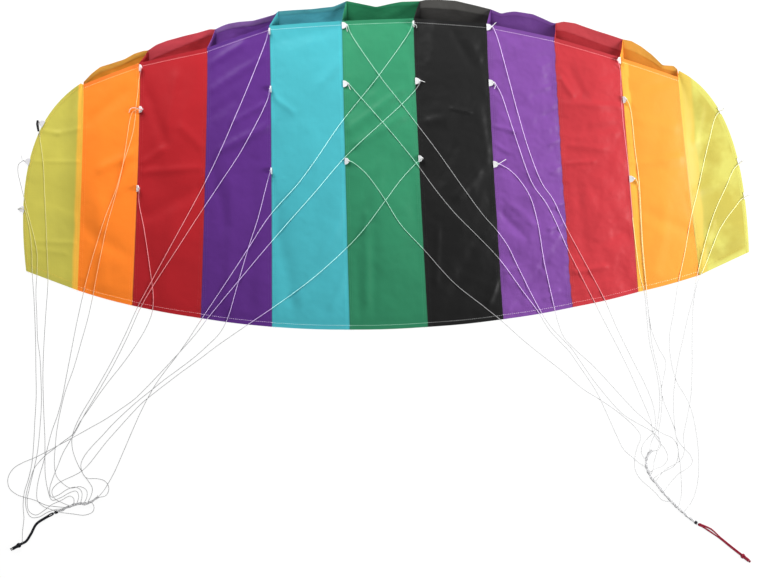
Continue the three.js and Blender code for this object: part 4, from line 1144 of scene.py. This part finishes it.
def stitch_lines(face, shares, left, right, front, back):
    """Rows of stitches at distances from a grid's edges. shares are the rows' places, from 0 to 1."""
    rows = np.arange(face.shape[0], dtype=float)
    width = np.linalg.norm(face[:, -1, :2] - face[:, 0, :2], axis=1)
    chord = np.linalg.norm(face[-1, CHORD_COLUMN, :2] - face[0, CHORD_COLUMN, :2])
    last = face.shape[1] - 1
    lines = [on_grid(face, rows, distance / width * last) for distance in left]
    lines += [on_grid(face, rows, (1 - distance / width) * last) for distance in right]
    across = np.linspace(0, last, HEM_POINTS)
    for distance in front:
        lines.append(on_grid(face, np.interp(distance / chord, shares, rows), across))
    for distance in back:
        lines.append(on_grid(face, np.interp(1 - distance / chord, shares, rows), across))
    return lines


def polylines(name, lines):
    """A mesh of edges only, in metres."""
    points, edges = [], []
    for line in lines:
        first = len(points)
        points += (line * MM).tolist()
        edges += [(first + k, first + k + 1) for k in range(len(line) - 1)]
    mesh = bpy.data.meshes.new(name)
    mesh.from_pydata(points, edges, [])
    return mesh


def sew(name, lines, thread, thickness):
    bead = tuple(size * MM for size in (STITCH_LENGTH, thickness, thickness))
    return grow(f"stitches_{name}", polylines(name, lines), along_lines,
                Spacing=STITCH_SPACING * MM, Bead=bead, Material=thread)


# How pale white thread or line looks on each panel, from the left tip to the right one.
PALENESS = {"tip_left": 86, "1_orange": 108, "2_red": 132, "3_purple": 157, "4_cyan": 142, "5_green": 134,
            "6_black": 140, "7_purple": 153, "8_red": 112, "9_orange": 130, "tip_right": 140}
CLOTH_SHARE = 0.66       # of the panel's own colour is added to that
HEM_PALER = 30           # a hem's thread is paler than a line by this much


def white_on(panel, paler=0):
    """Colour of white thread or line that lies on a panel and takes up its light."""
    pale = PALENESS[panel] + paler
    return linear(*[min(255, pale + CLOTH_SHARE * value) for value in CLOTHS[panel][0]])


def thread_of(name, colour):
    return principled(name, Base_Color=colour, Roughness=0.6)[0]


cell_names = [cell["name"] for cell in CELLS]
hem_threads = {name: thread_of(f"hem_thread_{name}", white_on(name, HEM_PALER)) for name in cell_names}
threads = {name: thread_of(f"thread_{name}", linear(*colours[1])) for name, colours in CLOTHS.items()}
stitch_count = 0
for cell in CELLS:
    name = cell["name"]
    seams = stitch_lines(faces[name], PANEL_ROWS, SEAM_ROWS, SEAM_ROWS, (), ())
    hems = stitch_lines(faces[name], PANEL_ROWS, (), (), (LIP_HEM,), (BACK_HEM,))
    sewn = [sew(f"seams_{name}", seams, threads[name], SEAM_THREAD)]
    sewn.append(sew(f"hems_{name}", hems, hem_threads[name], HEM_THREAD))
    for piece in sewn:
        dress(piece, cell["slot"], f"lower_{name}")
        stitch_count += len(piece.data.polygons)
for name, tip in TIPS.items():
    rim = (EDGE_HEM - 1.5,)
    left, right = (rim, SEAM_ROWS) if tip["side"] < 0 else (SEAM_ROWS, rim)
    rows = stitch_lines(faces[name][TIP_START:], TIP_ROWS[TIP_START:], left, right, (), (TIP_BACK_ROW,))
    piece = dress(sew(name, rows, threads[name], SEAM_THREAD), "cloth_yellow", name)
    stitch_count += len(piece.data.polygons)
print("stitches:", stitch_count, "faces")

# %% [markdown]
# ## Bridle tabs
#
# A tab is a folded piece of webbing with a rounded point, sewn into a seam, and the bridle line is
# hitched to its point. All are alike, so one template serves, and each point carries its tab's turn.
# Most tabs lie over to the side that their line leaves by, some almost upright and some nearly flat. On
# the tips they point away from the kite. Those of the left tip lie in the shade and are greyer, and those
# of the right tip catch the light.

# %% Tabs
TAB_BASE = 12.0
TAB_REACH = 10.0
TAB_FOLD = 2.6           # thickness at the seam, where the two layers of a tab part
TAB_CLOTH = 1.0          # and at its point
TAB_LIFT = 0.2           # its base stands this far above the seam
FRONT_TAB = 0.02         # share of the seam
MIDDLE_TAB = 0.2
TIP_TAB_HEIGHT = 0.8
# Tabs that lie to the right, away from their line, or that differ from the others on their rib.
AGAINST_LINE = {"2a": 1, "2b": 1, "2c": 1, "6b": 1, "6c": 1}
OWN_TILT = {"2a": 64, "2b": 52, "2c": 63, "5c": 40, "6a": 80, "6b": 20, "9c": 25}
# How far a tab sits from its usual place, in millimetres towards the back.
TAB_SHIFT = {"2b": -3.6, "2c": -0.4, "4a": -1.3, "4b": 5.4, "4c": 3.4, "5a": -3.2, "5b": 1.8, "5c": 1.8,
             "6a": -1.3, "6b": 1.4, "6c": 2, "7a": -4.5, "9a": -3.2, "9b": -8}


def tab_at(base, along, lean, tilt):
    """A tab's base and point, and its own axes: along its seam, out to its point, and up."""
    tilt = math.radians(tilt)
    side = np.array((along[1], -along[0], 0.0)) * lean * np.sign(along[1])
    out = side * math.cos(tilt) + np.array((0, 0, math.sin(tilt)))
    width = np.array((along[0], along[1], 0.0))
    up = np.cross(width, out)
    if up[2] < 0:
        width, up = -width, -up
    point = base + np.array((0, 0, 1.5 * CLOTH)) + out * TAB_REACH
    return {"base": base, "point": point, "axes": np.stack([width, out, up], 1), "out": out}


def unit(vector):
    return vector / np.linalg.norm(vector)


tabs = {}
for i, rib in enumerate(RIBS):
    if rib["rear_tab"] is None:
        continue
    seam = np.array(rib["lip"], dtype=float) - np.array(rib["back"], dtype=float)
    along = unit(seam)
    for letter, v in zip("abc", (FRONT_TAB, MIDDLE_TAB, rib["rear_tab"])):
        name = f"{i + 1}{letter}"
        v += TAB_SHIFT.get(name, 0) / np.linalg.norm(seam)
        base = np.array((*seam_line(rib, "lip", v), underside(rib, v) + CLOTH))
        first = on_plan(*LINES[name][0]) / MM
        lean = AGAINST_LINE.get(name, np.sign(first[0] - base[0]))
        tabs[name] = tab_at(base, along, lean, OWN_TILT.get(name, rib["tab_tilt"]))
for name, tip in TIPS.items():
    for letter, t in zip("abc", tip["tabs"]):
        rim, slope = edge_point(tip, t)
        along = -slope
        inward = np.array((-tip["side"] * along[1], tip["side"] * along[0]))
        base = np.array((*(rim + inward * CLOTH), TIP_TAB_HEIGHT))
        tabs[f"{tip['row']}{letter}"] = tab_at(base, along, tip["side"], tip["tilt"])


def wedge(name, shape):
    """A tab's outline, in millimetres and anticlockwise, as a closed plate that thins to its point."""
    count = len(shape)
    halves = [(x, y, mix(TAB_FOLD, TAB_CLOTH, y / TAB_REACH) / 2) for x, y in shape]
    points = [(x * MM, y * MM, side * half * MM) for side in (-1, 1) for x, y, half in halves]
    sides = [(k, (k + 1) % count, (k + 1) % count + count, k + count) for k in range(count)]
    mesh = bpy.data.meshes.new(name)
    mesh.from_pydata(points, [], [tuple(range(count))[::-1], tuple(range(count, 2 * count)), *sides])
    return mesh


def turned_points(name, places, axes):
    """Points in millimetres that carry the turn of their axes."""
    mesh = bpy.data.meshes.new(name)
    mesh.from_pydata([tuple(place * MM) for place in places], [], [])
    turn = mesh.attributes.new("turn", "FLOAT_VECTOR", "POINT")
    for k, axis in enumerate(axes):
        turn.data[k].vector = Matrix(axis.tolist()).to_euler()
    return mesh


def on_tabs(name, mesh, chosen, material):
    """Copies of a mesh, one on each of the chosen tabs, as one piece."""
    template = bpy.data.objects.new(f"{name}_template", mesh)
    scene.collection.objects.link(template)
    places = [tab["base"] + np.array((0, 0, TAB_LIFT + TAB_CLOTH / 2)) for tab in chosen]
    points = turned_points(name, places, [tab["axes"] for tab in chosen])
    piece = grow(name, points, on_points, Template=template, Material=material)
    bpy.data.objects.remove(template)
    return piece


right_side = [(TAB_BASE / 2, 0), (5.8, 2.4), (5.1, 4.7), (3.8, 6.8), (1.7, 8.4)]
tab_outline = right_side + [(-x, y) for x, y in reversed(right_side)]
rib_nodes = [f"rib_{i + 1}" for i, rib in enumerate(RIBS) if rib["rear_tab"] is not None]
# Webbing of each colour: its screen colour, the solids whose tabs are of it, and the numbers of these.
# The grey and bright ones are the same white webbing with painted shade and painted light.
WEBBINGS = {
    "white": ((220, 220, 222), rib_nodes, range(1, 11)),
    "grey": ((200, 199, 202), ["tip_left"], [0]),
    "bright": ((252, 252, 252), ["tip_right"], [11]),
}
for label, (colour, nodes_dressed, rows) in WEBBINGS.items():
    webbing = principled(f"webbing_{label}", Base_Color=linear(*colour), Roughness=0.7)[0]
    chosen = [tab for name, tab in tabs.items() if int(name[:-1]) in rows]
    tab_piece = on_tabs(f"bridle_tabs_{label}", wedge("tab", tab_outline), chosen, webbing)
    tab_piece.data.polygons.foreach_set("use_smooth", [False] * len(tab_piece.data.polygons))
    dress(tab_piece, "rib_cloth", *nodes_dressed)
print("tabs:", len(tabs))

# %% [markdown]
# ## Laying a cord
#
# A cord follows a smooth curve through its plan points. Its height comes from below: a ray finds the
# cloth under each point, and cords that were laid before lift it where they cross. A rope simulation
# could do this too, but then the lines would slide off the routes that were chosen for them.

# %% Cord tools
CORD_STEP = 3.0
FINE_STEP = 1.5
LAY_GAP = 0.15
CLOTH_SINK = 0.4         # soft cloth gives way under a cord
PILE_LIMIT = 9.0         # a tangle settles, so it is no higher than this
OWN_GAP = 15.0           # a cord can cross itself after this length
RAY_START = 0.2          # metres above the floor

vertices, polygons = [], []
for piece in cloth_pieces:
    first = len(vertices)
    vertices += [v.co.copy() for v in piece.data.vertices]
    polygons += [[first + k for k in p.vertices] for p in piece.data.polygons]
cloth_tree = BVHTree.FromPolygons(vertices, polygons)
laid = []


def run_along(path):
    """Length from a path's start to each of its points."""
    return np.concatenate([[0], np.cumsum(np.linalg.norm(np.diff(path, axis=0), axis=1))])


def headings(points):
    """Unit direction of a path at each of its points."""
    slope = np.gradient(points, axis=0)
    return slope / np.linalg.norm(slope, axis=1, keepdims=True)


def smooth_path(points, step):
    """A centripetal Catmull-Rom curve through points, sampled evenly."""
    points = np.asarray(points, dtype=float)
    ends = [2 * points[0] - points[1], *points, 2 * points[-1] - points[-2]]
    samples = []
    for a, b, c, d in zip(ends, ends[1:], ends[2:], ends[3:]):
        k0 = 0.0
        k1 = k0 + np.linalg.norm(b - a) ** 0.5
        k2 = k1 + np.linalg.norm(c - b) ** 0.5
        k3 = k2 + np.linalg.norm(d - c) ** 0.5
        t = np.linspace(k1, k2, max(4, int(2 * np.linalg.norm(c - b) / step)), endpoint=False)[:, None]
        ab = (k1 - t) / (k1 - k0) * a + (t - k0) / (k1 - k0) * b
        bc = (k2 - t) / (k2 - k1) * b + (t - k1) / (k2 - k1) * c
        cd = (k3 - t) / (k3 - k2) * c + (t - k2) / (k3 - k2) * d
        abc = (k2 - t) / (k2 - k0) * ab + (t - k0) / (k2 - k0) * bc
        bcd = (k3 - t) / (k3 - k1) * bc + (t - k1) / (k3 - k1) * cd
        samples.append((k2 - t) / (k2 - k1) * abc + (t - k1) / (k2 - k1) * bcd)
    samples = np.concatenate([*samples, points[-1:]])
    run = run_along(samples)
    even = np.linspace(0, run[-1], max(4, int(run[-1] / step)) + 1)
    return np.stack([np.interp(even, run, column) for column in samples.T], 1)


def ground(x, y):
    """Height of the cloth, or 0 on the floor."""
    hit = cloth_tree.ray_cast(Vector((x * MM, y * MM, RAY_START)), Vector((0, 0, -1)))[0]
    return 0.0 if hit is None else hit.z / MM


def rolling(values, reach, how):
    """The mean or the highest of each value and its neighbours."""
    padded = np.pad(values, reach, mode="edge")
    return how(np.lib.stride_tricks.sliding_window_view(padded, 2 * reach + 1), axis=-1)


def lay(plan, radius, step=CORD_STEP):
    """A cord's path over its plan points: on the floor, in the soft cloth or on the cords laid before."""
    under = np.array([ground(x, y) for x, y in plan])
    base = under + radius + np.where(under > 0, -CLOTH_SINK, LAY_GAP)
    need = base.copy()
    others = np.concatenate(laid) if laid else np.zeros((0, 4))
    apart = int(OWN_GAP / step)
    for k, (x, y) in enumerate(plan):
        near = np.hypot(others[:, 0] - x, others[:, 1] - y) < radius + others[:, 3] + step / 3
        if near.any():
            need[k] = max(need[k], (others[near, 2] + others[near, 3]).max() + radius)
        own = plan[:max(0, k - apart)]
        close = np.hypot(own[:, 0] - x, own[:, 1] - y) < 2 * radius + step / 3
        if close.any():
            need[k] = max(need[k], need[:len(own)][close].max() + 2 * radius)
    need = np.minimum(need, base + PILE_LIMIT)
    z = rolling(rolling(need, 2, np.max), 2, np.mean)
    return np.column_stack([plan, z])


def mark_laid(path, radius):
    laid.append(np.column_stack([path, np.full(len(path), radius)]))


def tube(path, radius, sides=8):
    """Points, faces and UV values of a closed round tube. radius is a number, or one for each point."""
    radius = np.broadcast_to(radius, len(path))
    slope = headings(path)
    side = np.cross(slope[0], (0, 0, 1) if abs(slope[0][2]) < 0.9 else (1, 0, 0))
    run = run_along(path)
    points, uvs = [], []
    for k, direction in enumerate(slope):
        side = unit(side - direction * side.dot(direction))
        other = np.cross(direction, side)
        for s in range(sides):
            angle = 2 * math.pi * s / sides
            points.append(path[k] + radius[k] * (side * math.cos(angle) + other * math.sin(angle)))
            uvs.append((s / sides, run[k]))
    faces = [tuple(range(sides))[::-1]]
    for k in range(len(path) - 1):
        for s in range(sides):
            a, b = k * sides + s, k * sides + (s + 1) % sides
            faces.append((a, b, b + sides, a + sides))
    last = (len(path) - 1) * sides
    faces.append(tuple(range(last, last + sides)))
    return points, faces, uvs


def tubes_piece(name, parts, material, on_floor=None, under=None):
    """One mesh object of several tubes. For each point of a single tube on_floor has a value from 0 to 1,
    and under the tint that it has on cloth."""
    points, faces_of, uvs = [], [], []
    for part_points, part_faces, part_uvs in parts:
        first = len(points)
        points += part_points
        uvs += part_uvs
        faces_of += [tuple(first + k for k in face) for face in part_faces]
    mesh = bpy.data.meshes.new(name)
    mesh.from_pydata((np.array(points) * MM).tolist(), [], faces_of)
    layer = mesh.uv_layers.new(name="UVMap")
    for loop in mesh.loops:
        layer.data[loop.index].uv = (uvs[loop.vertex_index][0], uvs[loop.vertex_index][1] * MM)
    mesh.polygons.foreach_set("use_smooth", [True] * len(mesh.polygons))
    mesh.set_sharp_from_angle(angle=math.radians(60))
    if on_floor is not None:
        ring = len(points) // len(on_floor)
        for title, values in (("on_floor", on_floor), ("on_cloth", 1 - on_floor)):
            store = mesh.attributes.new(title, "FLOAT", "POINT")
            store.data.foreach_set("value", np.repeat(values, ring))
        store = mesh.attributes.new("cloth_light", "FLOAT_VECTOR", "POINT")
        store.data.foreach_set("vector", np.repeat(under, ring, axis=0).ravel())
    mesh.materials.append(material)
    piece = bpy.data.objects.new(name, mesh)
    scene.collection.objects.link(piece)
    return piece


def path_length(path):
    return float(run_along(path)[-1]) * MM


print("cloth faces under the cords:", len(polygons))

# %% [markdown]
# ## Cord materials
#
# The bridle is braided cord. Its braid is two sets of slanted stripes on the tube's UV map, which runs
# round the cord and along it, so that the pattern follows every bend; the darker colour in the grooves
# between the strands is painted shade. The lines are painted darker towards the kite's left end, where
# the light is weaker, which the cord's place across the kite says, and where they lie on the floor, which
# an attribute says: both are painted shade. On cloth they have a tint of it, painted light that the
# cloth reflects, which another attribute carries. The pigtails are the same all along.

# %% Braid
BRAID_PITCH = 2.2 * MM
BRAID_STRANDS = 4
# Painted shade: lines darken from GREY_FROM to GREY_TO, towards the kite's left.
GREY_FROM = 0.35         # metres from the kite's middle
GREY_TO = -0.5
FLOOR_SHARE = 0.73       # how much of its brightness a line keeps on the floor, painted shade
HOLLOW_TONE = (0.9, 0.9, 0.9, 1)     # painted shade between the strands of a line that lies on cloth
BRAID_HEIGHT = 0.1 * MM


def braid(name, colour, shade, relief, left_share=1.0):
    """Cord of two colours, the darker one painted shade in the grooves between its strands. left_share is
    how much of its brightness it keeps at the kite's left end, as painted shade.
    """
    material, nodes, links, shader = principled(name, Roughness=0.7, Specular_IOR_Level=0.2)
    turn, length = uv_values(nodes, links)[:2]
    round_it = math_node(nodes, links, "MULTIPLY", turn, 2 * math.pi * BRAID_STRANDS)
    along_it = math_node(nodes, links, "MULTIPLY", length, 2 * math.pi / BRAID_PITCH)
    rising = math_node(nodes, links, "SINE", math_node(nodes, links, "ADD", round_it, along_it))
    falling = math_node(nodes, links, "SINE", math_node(nodes, links, "SUBTRACT", round_it, along_it))
    weave = math_node(nodes, links, "MAXIMUM", rising, falling)
    share = math_node(nodes, links, "MULTIPLY_ADD", weave, 0.5, 0.5)
    tone = blend_node(nodes, links, share, linear(*shade), linear(*colour))
    place = nodes.new("ShaderNodeSeparateXYZ")
    links.new(nodes.new("ShaderNodeTexCoord").outputs["Object"], place.inputs[0])
    fade = nodes.new("ShaderNodeMapRange")
    fade.interpolation_type = "SMOOTHSTEP"
    for socket, value in (("From Min", GREY_TO), ("From Max", GREY_FROM), ("To Min", left_share)):
        fade.inputs[socket].default_value = value
    links.new(place.outputs[0], fade.inputs["Value"])
    tone = blend_node(nodes, links, 1.0, tone, fade.outputs[0], "MULTIPLY")
    cloth = nodes.new("ShaderNodeAttribute")
    cloth.attribute_name = "cloth_light"
    hollow = blend_node(nodes, links, 1.0, cloth.outputs["Color"], HOLLOW_TONE, "MULTIPLY")
    tinted = blend_node(nodes, links, share, hollow, cloth.outputs["Color"])
    tone = blend_node(nodes, links, attribute(nodes, "on_cloth"), tone, tinted)
    dim = math_node(nodes, links, "MULTIPLY_ADD", attribute(nodes, "on_floor"), FLOOR_SHARE - 1, 1.0)
    tone = blend_node(nodes, links, 1.0, tone, dim, "MULTIPLY")
    links.new(tone, shader.inputs["Base Color"])
    raise_surface(nodes, links, shader, weave, relief, BRAID_HEIGHT)
    return material


line_braid = braid("braid_white", (238, 238, 238), (226, 226, 228), 0.4, left_share=0.7)
bundle_braid = braid("braid_bundle", (216, 216, 217), (200, 200, 202), 0.4, left_share=0.9)
pigtail_braids = {"black": braid("braid_black", (31, 32, 38), (27, 28, 34), 0.1),
                  "red": braid("braid_red", (138, 28, 50), (108, 16, 36), 0.15)}
print("cord materials:", 2 + len(pigtail_braids))

# %% [markdown]
# ## Pigtails and stopper knots
#
# Each pigtail is one cord doubled back on itself: its loop goes round the bundle of lines, and its two
# ends share a stopper knot. The loop is a path out along one side and back along the other, and on the
# red one the two sides part to leave an eye. The knot is a trefoil, the simplest real knot, squeezed,
# with both ends and their frayed threads behind it.

# %% Pigtails
PIGTAIL = 2.4
STRAND_OFFSET = 1.17     # the two sides are pressed together
EYE_OFFSET = 2.3         # the same where the two sides part
KNOT_REACH = 4.0         # how far both sides go into the knot
STOPPER = (5.4, 4.7, 3.2)    # half sizes of the knot
KNOT_CORD = 1.6          # a cord's half thickness in its knot, where it bunches up
KNOT_WAVE = 0.42         # how far the trefoil swings in and out
KNOT_POINTS = 96
END_STRAND = 1.8         # half thickness of an end that comes out of the knot
END_OFFSET = 1.1
FLOOR_GAP = 0.1
CORD_GAP = 0.3
PIGTAIL_STEP = 1.2
FRAY = 9                 # threads at each end
FRAY_LENGTH = 3.5
FRAY_THREAD = 0.28
random_fray = np.random.default_rng(7)


def stopper_parts(seat, back, tail_end):
    """Tubes of the knot and the frayed ends. back is the plan direction towards the ends."""
    across = np.array((-back[1], back[0]))
    t = np.linspace(0, 2 * math.pi, KNOT_POINTS + 1)[:-1]
    ring = (1 + KNOT_WAVE * np.cos(3 * t)) / (1 + KNOT_WAVE)
    u = (STOPPER[0] - KNOT_CORD) * ring * np.cos(2 * t)
    w = (STOPPER[1] - KNOT_CORD) * ring * np.sin(2 * t)
    z = (STOPPER[2] - KNOT_CORD) * np.sin(3 * t)
    plan = seat[:2] + u[:, None] * back + w[:, None] * across
    knot = np.column_stack([plan, z + seat[2]])
    parts = [tube(np.concatenate([knot, knot[:2]]), KNOT_CORD, 10)]
    reach = np.linalg.norm(tail_end - seat[:2])
    for side in (-1, 1):
        start = seat[:2] + across * side * END_OFFSET + back * 2
        end = seat[:2] + across * side * END_OFFSET + back * (reach - FRAY_LENGTH)
        strand = np.column_stack([np.linspace(start, end, 6), np.full(6, END_STRAND + FLOOR_GAP)])
        parts.append(tube(strand, END_STRAND, 10))
        for _ in range(FRAY):
            spread = random_fray.uniform(-1.5, 1.5)
            height = random_fray.uniform(0.4, 2.6)
            far = end + across * spread + back * random_fray.uniform(2.2, 4.4)
            middle = (end + far) / 2 + across * 0.3 * spread
            points = np.column_stack([np.array([end, middle, far]), (END_STRAND, height, height)])
            parts.append(tube(smooth_path(points, 0.8), FRAY_THREAD, 5))
    return parts


loops = {}
for name, pigtail in PIGTAILS.items():
    route = np.array([on_plan(*point) / MM for point in pigtail["route"]])
    back = -headings(route)[0]
    middle = np.concatenate([[route[0] + back * KNOT_REACH], route])
    heading = headings(middle)
    offset = np.full(len(middle), STRAND_OFFSET)
    if pigtail["eye"] is not None:
        offset[pigtail["eye"] + 1] = EYE_OFFSET
    aside = np.stack([-heading[:, 1], heading[:, 0]], 1) * offset[:, None]
    loop_end = middle[-1] + heading[-1] * STRAND_OFFSET
    plan = np.concatenate([middle + aside, [loop_end], (middle - aside)[::-1]])
    height = PIGTAIL / 2 + pigtail["swell"] + FLOOR_GAP
    strand = smooth_path(np.column_stack([plan, np.full(len(plan), height)]), PIGTAIL_STEP)
    from_loop = np.abs(np.linspace(-1, 1, len(strand)))
    thickness = PIGTAIL / 2 + pigtail["swell"] * smooth_step(from_loop, 0.5, 0.2)
    cord_piece = tubes_piece(f"cord_pigtail_{name}", [tube(strand, thickness, 10)], pigtail_braids[name])
    dress(cord_piece, f"pigtail_{name}", f"pigtail_{name}")
    seat = np.array((*(route[0] + back * (STOPPER[0] + CORD_GAP)), STOPPER[2] + FLOOR_GAP))
    tail = on_plan(*pigtail["tail"]) / MM
    stopper = tubes_piece(f"knot_{name}", stopper_parts(seat, back, tail), pigtail_braids[name])
    dress(stopper, f"pigtail_{name}", f"stopper_{name}")
    doubled_plan = np.array([loop_end, *middle[::-1]])
    centre = smooth_path(np.column_stack([doubled_plan, np.full(len(doubled_plan), height)]), FINE_STEP)
    loops[name] = {"end": loop_end, "heading": heading[-1], "strand": strand}
    print("pigtail", name, "doubled length", round(path_length(centre), 3), "m")

# %% [markdown]
# ## Bundles
#
# Where one side's lines run together they twist into a bundle. It is one mesh of six strands, each
# wound round the bundle's middle line. They part and close again unevenly, so that it reads as many
# loose lines and not as a hose.

# %% Bundles
STRANDS = 6
STRAND = 0.62        # half thickness of a strand
STRAND_RING = 1.7
TWIST_PITCH = 31.0
PARTING_LENGTH = 17.0
LOOSENESS = 1.5      # how far the strands part and close again, as a share of their ring
TIGHT_RUN = 14.0     # they stay together over this length at the pigtail
BUNDLE = 2 * (STRAND + STRAND_RING)


def twisted(path):
    """Tubes of strands wound round a path."""
    slope = headings(path)
    side = np.cross(slope, (0, 0, 1))
    side /= np.linalg.norm(side, axis=1, keepdims=True)
    other = np.cross(slope, side)
    run = run_along(path)
    parts = []
    for k in range(STRANDS):
        angle = (2 * math.pi * (run / TWIST_PITCH + k / STRANDS))[:, None]
        parting = np.array([noise.noise((s / PARTING_LENGTH, k * 3.1, 2.2)) for s in run])
        loose = 1 + LOOSENESS * smooth_step(run, TIGHT_RUN / 2, TIGHT_RUN) * parting
        aside = side * np.cos(angle) * loose[:, None]
        parts.append(tube(path + STRAND_RING * (aside + other * np.sin(angle)), STRAND, 8))
    return parts


bundle_paths = {}
for name, bundle in BUNDLES.items():
    loop = loops[bundle["pigtail"]]
    start = loop["end"] + loop["heading"] * (PIGTAIL / 2 + CORD_GAP)
    plan = smooth_path([start, *[on_plan(*point) / MM for point in bundle["route"]]], FINE_STEP)
    path = lay(plan, BUNDLE / 2, FINE_STEP)
    bundle_paths[name] = path
    piece = tubes_piece(f"cord_{name}", twisted(path), bundle_braid)
    dress(piece, "bridle_line", name)
    mark_laid(path, BUNDLE / 2)
    print(name, round(path_length(path), 3), "m")
for loop in loops.values():
    mark_laid(loop["strand"], PIGTAIL / 2)

# %% [markdown]
# ## Bridle lines
#
# Each line leaves the point of its tab, comes down to the cloth within a few centimetres, follows its
# route and ends in its bundle. They are laid in the order of the table, so later ones lie on top. A thin
# white line takes up light from the bright cloth around it, so on the cloth it has a share of its colour.

# %% Lines
LINE = 1.2
TAB_RELEASE = 20.0       # length over which a line comes down from its tab
BUNDLE_DIVE = 10.0       # and over which it goes into its bundle
BUNDLE_MIDDLE = 2.6      # height of a bundle's middle
FLOOR_BLEND = 4          # points over which a line's colour changes at the edge of the cloth
SUNK = {"9a": 0.42}      # it lies in the fold of its seam
SEAM_SHARES = np.linspace(0, 1, 41)
seams_in_plan = [seam_line(rib, "lip", SEAM_SHARES) for rib in RIBS]


def light_of_cloth(x, y):
    """A line's colour at a point of the plan, whose panel is found by counting the seams to its left."""
    seams_passed = sum(x > np.interp(-y, -ys, xs) for xs, ys in seams_in_plan)
    return white_on(list(PALENESS)[seams_passed])[:3]


line_lengths = {}
for name, route in LINES.items():
    tab = tabs[name]
    start = tab["point"] + tab["out"] * (LINE / 2 + CORD_GAP)
    plan = smooth_path([start[:2], *[on_plan(*point) / MM for point in route]], CORD_STEP)
    path = lay(plan, LINE / 2)
    on_floor = rolling(np.array([float(ground(x, y) == 0) for x, y in plan]), FLOOR_BLEND, np.mean)
    path[:, 2] -= SUNK.get(name, 0) * (1 - on_floor)
    run = run_along(plan)
    path[:, 2] = mix(path[:, 2], np.maximum(start[2], path[:, 2]), smooth_step(run, TAB_RELEASE, 0))
    path[:, 2] = mix(path[:, 2], BUNDLE_MIDDLE, smooth_step(run[-1] - run, BUNDLE_DIVE, 0))
    under = np.array([light_of_cloth(x, y) for x, y in plan])
    piece = tubes_piece(f"cord_line_{name}", [tube(path, LINE / 2)], line_braid, on_floor, under)
    dress(piece, "bridle_line", f"line_{name}")
    mark_laid(path, LINE / 2)
    line_lengths[name] = path_length(path)
print("bridle lines:", {name: round(length, 3) for name, length in line_lengths.items()})
print("line in all:", round(sum(line_lengths.values()), 2), "m")

# %% [markdown]
# ## Hitches and whippings
#
# Every line is hitched to its tab with a small knot, and some leave a short end, each chosen on the
# plan grid. Where a bundle meets its pigtail a few turns of black thread hold it, and the left tip's
# front tab has a stub of black cord.

# %% Hitches, whippings and stub
HITCH_CORD = 0.6         # half thickness
WHIPPING_TURNS = 4
WHIPPING_PITCH = 1.1
WHIPPING_START = 2.0     # from the bundle's end
WHIPPING_THREAD = 0.6    # half thickness
WHIPPING_GAP = 0.2
STUB = 1.9               # half thickness
STUB_ROUTE = [(38.3, 120.5), (37.6, 124), (38, 127), (38.9, 131.5)]
TAIL = 1.2               # thickness of a hitch's short end
TAILS = {
    "0b": [(22.5, 159), (21.7, 155.5)],
    "2b": [(133.6, 108.8), (131.2, 110.4), (130.2, 113.4)],
    "5a": [(346.8, 30), (347.8, 33)],
    "5b": [(349.2, 87.5), (350.6, 91)],
    "6a": [(416, 27), (416.4, 29.4)],
    "6b": [(422.6, 82.6), (424.8, 83.4)],
    "7a": [(494.4, 24.4), (496, 22.8)],
    "7b": [(494.7, 87.5), (493.8, 89.8)],
    "7c": [(502.6, 161.6), (505.4, 160.1)],
}


def ring_path(radius, y, squash=1.0):
    t = np.linspace(0, 2 * math.pi, 17)
    return np.stack([radius * np.cos(t), np.full(17, y), squash * radius * np.sin(t)], 1)


rings = [ring_path(1.2, 8.7), ring_path(1.1, 9.8, 0.9)]
hitch_parts = [tube(ring, HITCH_CORD, 6) for ring in rings]
hitch = tubes_piece("hitch", hitch_parts, line_braid)
hitch_mesh = hitch.data
bpy.data.objects.remove(hitch)
hitches = on_tabs("line_hitches", hitch_mesh, tabs.values(), line_braid)
dress(hitches, "bridle_line", *[f"line_{name}" for name in LINES])

tail_parts = []
for name, route in TAILS.items():
    point = tabs[name]["point"]
    plan = smooth_path([point[:2], *[on_plan(*spot) / MM for spot in route]], FINE_STEP)
    height = np.array([ground(x, y) for x, y in plan]) + TAIL
    height = np.maximum(height, np.linspace(point[2], height[-1] + 1, len(height)))
    tail_parts.append(tube(np.column_stack([plan, height]), TAIL / 2, 6))
tails = tubes_piece("hitch_tails", tail_parts, line_braid)
dress(tails, "bridle_line", *[f"line_{name}" for name in TAILS])

for name, bundle in BUNDLES.items():
    path = bundle_paths[name]
    t = np.linspace(0, 1, 16 * WHIPPING_TURNS + 1)
    slope = unit(path[2] - path[0])
    side = unit(np.cross(slope, (0, 0, 1)))
    angle = 2 * math.pi * WHIPPING_TURNS * t[:, None]
    turns = side * np.cos(angle) + np.cross(slope, side) * np.sin(angle)
    middle = path[0] + slope * (WHIPPING_START + WHIPPING_PITCH * WHIPPING_TURNS * t[:, None])
    coil_path = middle + turns * (BUNDLE / 2 + WHIPPING_GAP)
    coil_path[:, 2] = np.maximum(coil_path[:, 2], WHIPPING_THREAD + FLOOR_GAP)
    coil = tube(coil_path, WHIPPING_THREAD, 6)
    whipping = tubes_piece(f"whipping_{name}", [coil], pigtail_braids["black"])
    dress(whipping, "pigtail_black", name)

stub_plan = smooth_path([on_plan(*point) / MM for point in STUB_ROUTE], FINE_STEP)
stub = tubes_piece("tab_stub", [tube(lay(stub_plan, STUB, FINE_STEP), STUB, 8)], pigtail_braids["black"])
dress(stub, "pigtail_black", "tip_left")
print("hitches:", len(tabs), "whippings:", len(BUNDLES))
